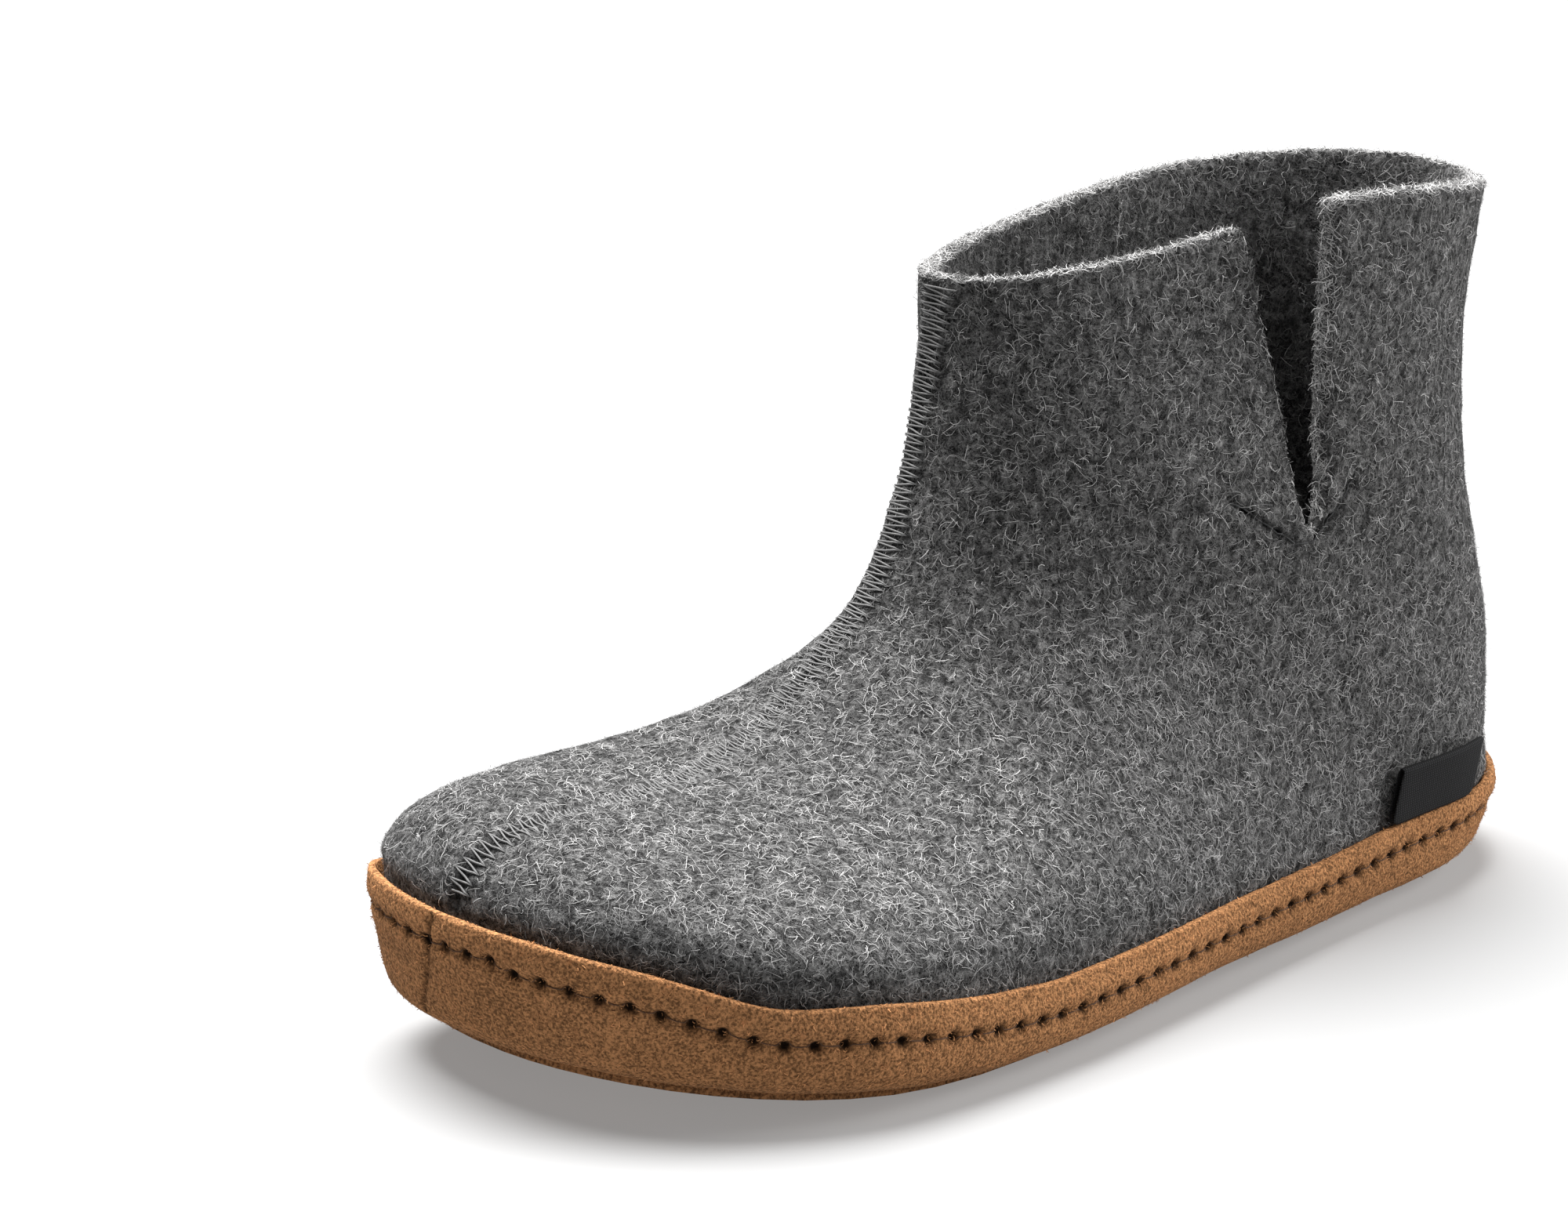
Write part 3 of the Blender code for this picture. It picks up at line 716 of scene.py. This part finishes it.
def floor_material():
    """Pale floor that glows faintly, and sends less light back to the boot than the camera sees."""
    material, nodes, links, surface = new_material("pale_floor", 0.9)
    cloud = noise_at(nodes, links, object_place(nodes), scale=3.0, detail=2.0)
    colour = mix_colour(nodes, links, cloud, (0.315, 0.315, 0.315), (0.33, 0.33, 0.33))
    seen = nodes.new("ShaderNodeLightPath").outputs["Is Camera Ray"]
    links.new(mix_colour(nodes, links, seen, (0.14, 0.14, 0.14), colour), surface.inputs["Base Color"])
    surface.inputs["Emission Color"].default_value = (1.0, 1.0, 1.0, 1.0)
    surface.inputs["Emission Strength"].default_value = 0.24
    return material


def front_seam_path():
    return resample(rounded(metres(FRONT_SEAM)), PATH_STEP)


def stay_path(points):
    return resample(rounded(metres(points), 1), PATH_STEP)


def both_stays(surface):
    """Points of the stitched lines below both slits, drawn on to the felt."""
    return np.concatenate([laid_on(surface, stay_path(line))[0] for line in (OUTER_STAY, INNER_STAY)])


def lumps_at(points, size, seed):
    """Soft random heights over a set of points, lumps about as wide as size."""
    offset = Vector((seed * 13.1, seed * 7.7, seed * 3.3))
    return np.array([noise.noise(Vector(p) / size + offset) for p in points])


class SLIPPER_OT_felt_upper(bpy.types.Operator):
    """Felt upper: smoothed wall with its cut edges, uneven felt face, front seam and stitched slit ends"""

    bl_idname = "slipper.felt_upper"
    bl_label = "Felt upper"

    def execute(self, context):
        felt = context.scene.slipper.felt
        piece = copy_of_node("upper", "felt_upper")
        crease_sharp_edges(piece, *FELT_EDGE)
        subdivide_smooth(piece, 2)
        seam = front_seam_path()
        refine_near(piece, seam, *SEAM_FINE)
        surface = surface_of(piece)
        stays = both_stays(surface)
        refine_near(piece, stays, *STAY_FINE)
        points, normals = mesh_points(piece)
        lumps = lumps_at(points, felt.lump_size, 1) + 0.5 * lumps_at(points, felt.lump_size * 0.4, 2)
        seam, _ = laid_on(surface, seam)
        away, index = distance_to(points, seam)
        toeward = index / len(seam)
        gap = bell(away, SEAM_GAP)
        swell = bell(away - SEAM_SWELL, SEAM_GAP)
        to_stay, _ = distance_to(points, stays)
        pulled = bell(to_stay, STAY_GROOVE) * (0.75 + 0.9 * lumps_at(points, STAY_TUFT, 3))
        rise = felt.lump * lumps + felt.seam_depth * (SEAM_SWELL_SHARE * swell - gap)
        rise -= felt.stay_depth * pulled
        move_points(piece, points + normals * rise[:, None])
        # Painted shade in the front seam's gap, stronger towards the toe, and in the stitched grooves below
        # the slits
        dark = np.exp(-(away / SEAM_SHADE_REACH) ** 4) * (SEAM_SHADE * toeward ** 6)
        set_attribute(piece, "seam", np.clip(np.maximum(dark, STAY_SHADE * pulled), 0.0, 1.0))
        finish_piece(piece, felt_material("grey_felt", felt), "upper")
        return {"FINISHED"}


def face_table(piece):
    """Triangles of a piece: corner points, normals and areas."""
    mesh = piece.data
    mesh.calc_loop_triangles()
    count = len(mesh.loop_triangles)
    corners = np.zeros(count * 3, dtype=np.int32)
    mesh.loop_triangles.foreach_get("vertices", corners)
    normals = np.zeros(count * 3)
    mesh.loop_triangles.foreach_get("normal", normals)
    points, _ = mesh_points(piece)
    sides = points[corners.reshape(-1, 3)]
    areas = np.linalg.norm(np.cross(sides[:, 1] - sides[:, 0], sides[:, 2] - sides[:, 0]), axis=1) / 2
    return sides, normals.reshape(-1, 3), areas


def free_way(surface, places, ways, reach):
    """How far each ray runs before it meets the surface, at most reach."""
    free = np.full(len(places), reach)
    for i, (place, way) in enumerate(zip(places, ways)):
        distance = surface.ray_cast(Vector(place + way * RAY_START), Vector(way), reach)[3]
        if distance is not None:
            free[i] = distance
    return free


def scatter(faces, shares, count, draw):
    """Random places on triangles, more on large ones and on those with a large share, with their normals."""
    sides, normals, areas = faces
    run = np.cumsum(areas * shares)
    chosen = np.searchsorted(run, draw.random(count) * run[-1])
    a, b = draw.random(count), draw.random(count)
    over = a + b > 1
    a[over], b[over] = 1 - a[over], 1 - b[over]
    origin, second, third = sides[chosen].transpose(1, 0, 2)
    places = origin + (second - origin) * a[:, None] + (third - origin) * b[:, None]
    return places, normals[chosen]


def unit(vectors):
    return vectors / np.maximum(np.linalg.norm(vectors, axis=1), 1e-12)[:, None]


def fibre_piece(name, surface, spots, kind, draw):
    """Loose fibres as thin curling strips on a surface, most of them lying, some standing off."""
    places, normals = spots
    count = len(places)
    first = unit(np.cross(normals, SLANT))
    second = np.cross(normals, first)
    heading = draw.uniform(0.0, math.tau, count)
    bend = draw.normal(0.0, kind.curl, count)
    length = draw.uniform(*kind.length, count) * MM
    width = draw.uniform(*kind.width, count) * MM
    standing = draw.random(count) < kind.stand_share
    rise = np.where(standing, draw.uniform(*kind.stand, count), draw.uniform(*kind.lie, count)) * MM
    tuft = 1.0 + 0.7 * lumps_at(places, TUFT_SIZE, 9)
    tone = np.clip(draw.beta(*kind.tone, count) * tuft + 0.1 * standing, 0.02, 1.0)
    rows = []
    for i in range(kind.steps + 1):
        share = i / kind.steps
        turn = heading + bend * share
        along = first * np.cos(turn)[:, None] + second * np.sin(turn)[:, None]
        lying, up = laid_on(surface, places)
        lift = rise * np.where(standing, share, math.sin(math.pi * share)) + FIBRE_LIFT
        half = unit(np.cross(along, up)) * (width * (0.5 - 0.25 * share))[:, None]
        middle = lying + up * lift[:, None]
        rows += [middle - half, middle + half]
        places = places + along * (length / kind.steps)[:, None]
    across = len(rows)
    vertices = np.stack(rows, axis=1).reshape(-1, 3)
    starts = np.arange(count)[:, None] * across + np.arange(0, across - 2, 2)[None, :]
    faces = starts.reshape(-1, 1) + np.array([[0, 1, 3, 2]])
    mesh = bpy.data.meshes.new(name)
    mesh.from_pydata(vertices.tolist(), [], faces.tolist())
    piece = link(name, mesh)
    select_only(piece)
    bpy.ops.object.shade_smooth()
    set_attribute(piece, "tone", np.repeat(tone, across))
    return piece


class SLIPPER_OT_loose_fibres(bpy.types.Operator):
    """Loose wool fibres over the foot, the heel and the shaft, and on the cut edges"""

    bl_idname = "slipper.loose_fibres"
    bl_label = "Loose fibres"

    def execute(self, context):
        felt = context.scene.slipper.felt
        upper = bpy.data.objects["felt_upper"]
        surface = surface_of(upper)
        faces = face_table(upper)
        middles = faces[0].mean(axis=1)
        x, y, z = (middles / MM).T
        shown = z > np.array([wrap_top(place, side) for place, side in zip(y, x)]) + 0.5
        outside = free_way(surface, middles, faces[1], OPEN_AIR) > OPEN_AIR - RAY_SLACK
        rim = (free_way(surface, middles, -faces[1], RIM_REACH) > RIM_DEPTH) & (z > RIM_FROM)
        seam, _ = distance_to(middles, front_seam_path())
        vamp = np.clip((y - TOE_SEAM_END) / TOE_SEAM_RUN, TOE_SEAM_COVER, 1.0)
        beside = np.where(y > SHAFT_SEAM_FROM, SHAFT_SEAM_COVER, vamp)
        clear = np.where(seam < SEAM_CLEAR, beside, 1.0) * shown
        stays, _ = distance_to(middles, both_stays(surface))
        clear *= np.where(stays < STAY_CLEAR, STAY_COVER, 1.0)
        low = z < SHAFT_FROM
        heel = y >= HEEL_FROM
        shaft = np.where(outside, 1.0, INSIDE_COVER * (z > INSIDE_FROM)) * ~low
        regions = (
            ("forefoot_fibres", clear * (outside & low & ~heel), WOOL, felt.fibres),
            ("heel_fibres", clear * (outside & low & heel), WOOL, felt.fibres),
            ("shaft_fibres", clear * shaft, WOOL, felt.fibres),
            ("rim_fibres", clear * rim, RIM_WOOL, felt.rim_fibres),
        )
        material = strand_material("loose_wool", shade(felt.dark, 2.5), tuple(felt.light))
        for seed, (name, shares, kind, count) in enumerate(regions):
            draw = np.random.default_rng(seed + 11)
            piece = fibre_piece(name, surface, scatter(faces, shares, count, draw), kind, draw)
            finish_piece(piece, material)
        return {"FINISHED"}


def spaced(path, pitch_at):
    """Points along a dense path, at a pitch that changes with the share of the run."""
    steps = np.linalg.norm(np.diff(path, axis=0), axis=1)
    run = np.concatenate(([0.0], np.cumsum(steps)))
    stops = [0.0]
    while stops[-1] < run[-1]:
        stops.append(stops[-1] + pitch_at(stops[-1] / run[-1]))
    return np.stack([np.interp(stops[:-1], run, path[:, i]) for i in range(3)], axis=1)


def seam_sink(y):
    """How deep the felt buries the front seam's thread at a place along the foot, in millimetres."""
    return sum(depth * math.exp(-((y - at) / reach) ** power) for depth, at, reach, power in SEAM_SINKS)


class SLIPPER_OT_felt_stitching(bpy.types.Operator):
    """Zigzag thread down the front seam and the stitched lines below the slits"""

    bl_idname = "slipper.felt_stitching"
    bl_label = "Felt stitching"

    def execute(self, context):
        stitch = context.scene.slipper.stitch
        surface = surface_of(bpy.data.objects["felt_upper"])
        draw = random.Random(5)

        def crossing(share):
            return (stitch.zigzag + (stitch.zigzag_toe - stitch.zigzag) * share ** 2) / 2

        places, normals = laid_on(surface, spaced(front_seam_path(), crossing))
        ends = []
        for i in range(1, len(places) - 1):
            along = Vector(places[i + 1] - places[i - 1]).normalized()
            across = Vector(normals[i]).cross(along).normalized()
            wider = 1.0 + ZIGZAG_WIDER * (1 - i / len(places))
            reach = stitch.half_width * wider * draw.uniform(*ZIGZAG_UNEVEN) * (1 if i % 2 else -1)
            ends.append(Vector(places[i]) + across * reach)
        line = []
        for first, second in zip(ends, ends[1:]):
            sunk = seam_sink(first.y / MM)
            for share, lift in ZIGZAG_ARCH:
                place, normal, _, _ = surface.find_nearest(first.lerp(second, share))
                line.append(place + normal * (lift - sunk) * MM)
        zigzag = thread_piece("front_seam_thread", [line], stitch.thread)
        finish_piece(zigzag, thread_material("grey_thread", GREY_THREAD))

        lines = []
        for stay in (OUTER_STAY, INNER_STAY):
            spots, spot_normals = laid_on(surface, resample(stay_path(stay), STAY_STEP))
            for i in range(0, len(spots) - 3, 3):
                lines.append([Vector(spots[i + k]) + Vector(spot_normals[i + k]) * lift * MM
                              for k, lift in STAY_ARCH])
        dashes = thread_piece("slit_stay_thread", lines, stitch.thread)
        finish_piece(dashes, thread_material("dark_thread", DARK_THREAD))
        return {"FINISHED"}


def wrap_top(y, side):
    """Height of the suede's top edge along the foot, in millimetres; side is below 0 on the inner side."""
    toeward = max(0.0, (WRAP_TOE_FROM - y) / (WRAP_TOE_FROM - WRAP_TOE_END))
    top = WRAP_TOP + WRAP_TOE_RISE * toeward ** 2
    if side < 0 and WRAP_TOE_END < y < BIG_TOE_END:
        run = (y - WRAP_TOE_END) / (BIG_TOE_END - WRAP_TOE_END)
        top += BIG_TOE_RISE * math.sin(math.pi * run ** BIG_TOE_POWER)
    return top - edge_dip(y, side)


def edge_dip(y, side):
    """How far the outer side's hand-trimmed edge runs below its even line, in millimetres."""
    if side <= 0:
        return 0.0
    along = clamp((y - TRIM_FROM) / TRIM_RUN_IN) * clamp((TRIM_TO - y) / TRIM_RUN_OUT)
    return EDGE_TRIM * along + EDGE_NOTCH * math.exp(-((y - EDGE_NOTCH_Y) / EDGE_NOTCH_REACH) ** 2)


def stitch_drop(y):
    """How far the stitch line lies below the suede's top edge, in millimetres."""
    return STITCH_DROP + STITCH_DROP_TOE * clamp((STITCH_DROP_FROM - y) / STITCH_DROP_RUN)


def fan(centre, first, span, count, closing=0):
    """Rays that turn about a place, from an angle over a span, both in half turns."""
    angles = [math.pi * (first + span * i / count) for i in range(count + closing)]
    return [(centre, (math.cos(angle), math.sin(angle))) for angle in angles]


def side_rays(across, shares):
    """Rays to one side, from places on the line between the middles of the toe and the heel."""
    (toe_x, toe_y), (heel_x, heel_y) = FAN_TOE, FAN_HEEL
    places = [(toe_x + (heel_x - toe_x) * share, toe_y + (heel_y - toe_y) * share) for share in shares]
    return [(place, (across, 0.0)) for place in places]


def wrap_ring(surface):
    """Closed ring on the suede's outer face along its stitch line, from the toe round the outer side."""
    shares = [i / SIDE_STEPS for i in range(SIDE_STEPS)]
    rays = fan(FAN_TOE, 1.5, 0.5, FAN_STEPS)
    rays += side_rays(1.0, shares)
    rays += fan(FAN_HEEL, 0.0, 1.0, 2 * FAN_STEPS)
    rays += side_rays(-1.0, [1 - share for share in shares])
    rays += fan(FAN_TOE, 1.0, 0.5, FAN_STEPS, 1)
    ring = []
    for (x, y), (dx, dy) in rays:
        far_y = y
        for _ in range(FAN_ROUNDS):
            height = wrap_top(far_y, dx) - stitch_drop(far_y)
            source = Vector((x + dx * FAN_REACH, y + dy * FAN_REACH, height)) * MM
            hit = surface.ray_cast(source, Vector((-dx, -dy, 0.0)))[0]
            if hit is None:
                raise RuntimeError("the stitch line misses the suede")
            far_y = hit.y / MM
        ring.append(hit)
    return np.array(ring)


class SLIPPER_OT_suede_wrap(bpy.types.Operator):
    """Suede wrap: smoothed band with its stitch holes, the groove between them and the toe join"""

    bl_idname = "slipper.suede_wrap"
    bl_label = "Suede wrap"

    def execute(self, context):
        suede = context.scene.slipper.suede
        piece = copy_of_node("suede_wrap", "suede_band")
        crease_sharp_edges(piece, *SUEDE_EDGE)
        subdivide_smooth(piece, 2)
        points, _ = mesh_points(piece)
        for point in points:
            x, y, z = point / MM
            even = wrap_top(y, x) + edge_dip(y, x)
            share = clamp(1 - (even - z) / EDGE_BLEND)
            point[2] -= edge_dip(y, x) * share * share * (3 - 2 * share) * MM
        move_points(piece, points)
        ring = wrap_ring(surface_of(piece))
        dense = resample(ring, RING_STEP)
        refine_near(piece, dense, *STITCH_FINE)
        join = resample(rounded(metres(TOE_JOIN), 2), PATH_STEP)
        refine_near(piece, join, *JOIN_FINE)
        holes = resample(ring, suede.pitch)[:-1]
        points, normals = mesh_points(piece)
        away, _ = distance_to(points, dense)
        to_hole, _ = distance_to(points, holes)
        join, _ = laid_on(surface_of(piece), join)
        to_join, _ = distance_to(points, join)
        pit = bell(to_hole, suede.hole)
        groove = bell(away, GROOVE_REACH)
        swell = bell(away - GROOVE_SWELL, GROOVE_SWELL_REACH)
        split = bell(to_join, JOIN_REACH)
        depth = suede.hole_depth * pit + suede.groove * groove + JOIN_DEPTH * split
        depth -= GROOVE_SWELL_RISE * swell
        ripple = lumps_at(points, RIPPLE_SIZE, 4) * RIPPLE_RISE
        points += normals * (ripple - depth)[:, None]
        move_points(piece, points)
        # Painted shade in the stitch holes, the groove between them and the toe join
        painted_shade = HOLE_SHADE * pit + GROOVE_SHADE * groove + JOIN_SHADE * split
        set_attribute(piece, "stitch", np.clip(painted_shade, 0.0, 1.0))
        finish_piece(piece, suede_material("tan_suede", tuple(suede.tan), True), "suede_wrap")

        surface = surface_of(piece)
        lines = []
        for first, second in zip(holes, np.roll(holes, -1, axis=0)):
            if np.linalg.norm(second - first) > 3 * suede.pitch:
                continue
            line = []
            for share, lift in WRAP_ARCH:
                hit, normal, _, _ = surface.find_nearest(Vector(first + (second - first) * share))
                line.append(hit + normal * lift * MM)
            lines.append(line)
        thread = thread_piece("wrap_thread", lines, WRAP_THREAD)
        finish_piece(thread, thread_material("brown_thread", BROWN_THREAD))

        faces = face_table(piece)
        middles = faces[0].mean(axis=1)
        open_air = free_way(surface, middles, faces[1], NAP_AIR) > NAP_AIR - RAY_SLACK
        to_hole, _ = distance_to(middles, holes)
        shares = open_air * (faces[1][:, 2] > -0.8) * (to_hole > HOLE_CLEAR)
        draw = np.random.default_rng(31)
        nap = fibre_piece("suede_nap", surface, scatter(faces, shares, suede.nap, draw), NAP, draw)
        material = strand_material("loose_nap", shade(suede.tan, 0.6), shade(suede.tan, 2.2))
        finish_piece(nap, material)
        return {"FINISHED"}


class SLIPPER_OT_sole(bpy.types.Operator):
    """Outsole with softened edges and the footbed inside"""

    bl_idname = "slipper.sole"
    bl_label = "Sole and footbed"

    def execute(self, context):
        settings = context.scene.slipper
        sole = copy_of_node("outsole", "sole_tread")
        bevel = sole.modifiers.new("edge", "BEVEL")
        bevel.width = SOLE_EDGE
        bevel.segments = 2
        bevel.limit_method = "ANGLE"
        bevel.angle_limit = SOLE_EDGE_ANGLE
        select_only(sole)
        bpy.ops.object.modifier_apply(modifier=bevel.name)
        bpy.ops.object.shade_smooth_by_angle(angle=SOLE_EDGE_ANGLE)
        material = suede_material("sole_suede", shade(settings.suede.tan, 0.8), False)
        finish_piece(sole, material, "outsole")

        bed = copy_of_node("insole", "felt_footbed")
        crease_sharp_edges(bed, *FOOTBED_EDGE)
        subdivide_smooth(bed, 2)
        points, normals = mesh_points(bed)
        points += normals * (lumps_at(points, FOOTBED_LUMP_SIZE, 7) * FOOTBED_LUMP)[:, None]
        move_points(bed, points)
        finish_piece(bed, felt_material("footbed_felt", settings.felt, 1.2), "insole")
        return {"FINISHED"}


class SLIPPER_OT_heel_label(bpy.types.Operator):
    """Blank ribbon at the outer heel, folded over along its top edge"""

    bl_idname = "slipper.heel_label"
    bl_label = "Heel label"

    def execute(self, context):
        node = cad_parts["side_label"].data
        corners = sorted({tuple(round(c, 6) for c in v.co) for v in node.vertices}, key=lambda c: c[2])
        half = len(corners) // 2
        levels = []
        for level in (corners[:half], corners[half:]):
            level = sorted(level, key=lambda c: c[1])
            pairs = [sorted(level[i:i + 2]) for i in range(0, half, 2)]
            levels.append((np.array([p[0] for p in pairs]), np.array([p[1] for p in pairs])))
        (back_low, front_low), (back_high, front_high) = levels
        rows = [back_low + (back_high - back_low) * share for share in RIBBON_ROWS]
        middle = (back_high + front_high) / 2
        spread = (front_high - back_high) / 2
        for turn in RIBBON_TURNS:
            angle = math.pi * turn
            rise = np.array((0.0, 0.0, RIBBON_FOLD * (math.sin(angle) - 1)))
            rows.append(middle - spread * math.cos(angle) + rise)
        rows += [front_low + (front_high - front_low) * share for share in reversed(RIBBON_ROWS)]
        count = len(back_low)
        vertices = np.concatenate(rows)
        faces = []
        for i in range(len(rows) - 1):
            for k in range(count - 1):
                at = i * count + k
                faces.append((at, at + count, at + count + 1, at + 1))
        mesh = bpy.data.meshes.new("blank_ribbon")
        mesh.from_pydata(vertices.tolist(), [], faces)
        piece = link("blank_ribbon", mesh)
        select_only(piece)
        wall = piece.modifiers.new("ribbon", "SOLIDIFY")
        wall.thickness = RIBBON_THICK
        wall.offset = 0.0
        bpy.ops.object.modifier_apply(modifier=wall.name)
        bpy.ops.object.mode_set(mode="EDIT")
        bpy.ops.mesh.select_all(action="SELECT")
        bpy.ops.mesh.normals_make_consistent(inside=False)
        bpy.ops.object.mode_set(mode="OBJECT")
        subdivide_smooth(piece, 1)
        finish_piece(piece, woven_material(), "side_label")
        return {"FINISHED"}


def add_light(name, kind, place, target, energy):
    light = bpy.data.lights.new(name, kind)
    light.energy = energy
    lamp = link(name, light)
    lamp.location = place
    lamp.rotation_euler = (Vector(target) - Vector(place)).to_track_quat("-Z", "Y").to_euler()
    return light


class SLIPPER_OT_stage(bpy.types.Operator):
    """Pale floor, soft studio light and the camera"""

    bl_idname = "slipper.stage"
    bl_label = "Stage"

    def execute(self, context):
        stage = context.scene.slipper.stage
        bpy.ops.object.select_all(action="DESELECT")
        bpy.ops.mesh.primitive_plane_add(size=FLOOR_SIZE, location=(0.0, 0.0, 0.0))
        floor = bpy.context.active_object
        floor.name = "floor"
        floor.data.materials.append(floor_material())
        overhead = add_light("overhead", "SUN", OVERHEAD_PLACE, (0.0, 0.0, 0.0), stage.overhead)
        overhead.angle = OVERHEAD_SPREAD
        front = add_light("front_softbox", "AREA", FRONT_PLACE, FRONT_AIM, stage.front)
        side = add_light("side_softbox", "AREA", SIDE_PLACE, SIDE_AIM, stage.side)
        for softbox in (front, side):
            softbox.size = SOFTBOX_SIZE
        world = bpy.data.worlds.new("studio")
        world.use_nodes = True
        sky = world.node_tree.nodes["Background"]
        sky.inputs["Color"].default_value = (1.0, 1.0, 1.0, 1.0)
        sky.inputs["Strength"].default_value = stage.sky
        context.scene.world = world
        context.scene.view_settings.view_transform = "Standard"
        camera = bpy.data.cameras.new("camera")
        camera.lens = stage.lens
        camera.sensor_width = 36.0
        camera.clip_start = 0.01
        camera.clip_end = 50.0
        seat = link("camera", camera)
        seat.location = stage.camera
        seat.rotation_euler = (math.pi / 2 - stage.elevation, 0.0, stage.azimuth)
        context.scene.camera = seat
        return {"FINISHED"}


STEPS = ("stage", "felt_upper", "loose_fibres", "felt_stitching", "suede_wrap", "sole", "heel_label")


class SLIPPER_PT_panel(bpy.types.Panel):
    """Sidebar panel that lists the settings and the steps."""

    bl_label = "Slipper boot"
    bl_idname = "SLIPPER_PT_panel"
    bl_space_type = "VIEW_3D"
    bl_region_type = "UI"
    bl_category = "Slipper"

    def draw(self, context):
        for part in ("felt", "suede", "stitch", "stage"):
            settings = getattr(context.scene.slipper, part)
            box = self.layout.box()
            for name in settings.__annotations__:
                box.prop(settings, name)
        for step in STEPS:
            self.layout.operator("slipper." + step)


CLASSES = (
    FeltSettings,
    SuedeSettings,
    StitchSettings,
    StageSettings,
    BootSettings,
    SLIPPER_OT_felt_upper,
    SLIPPER_OT_loose_fibres,
    SLIPPER_OT_felt_stitching,
    SLIPPER_OT_suede_wrap,
    SLIPPER_OT_sole,
    SLIPPER_OT_heel_label,
    SLIPPER_OT_stage,
    SLIPPER_PT_panel,
)


def register():
    for kind in CLASSES:
        bpy.utils.register_class(kind)
    bpy.types.Scene.slipper = PointerProperty(type=BootSettings)


def unregister():
    del bpy.types.Scene.slipper
    for kind in reversed(CLASSES):
        bpy.utils.unregister_class(kind)


def main():
    register()
    for step in STEPS:
        getattr(bpy.ops.slipper, step)()


if __name__ == "__main__":
    main()
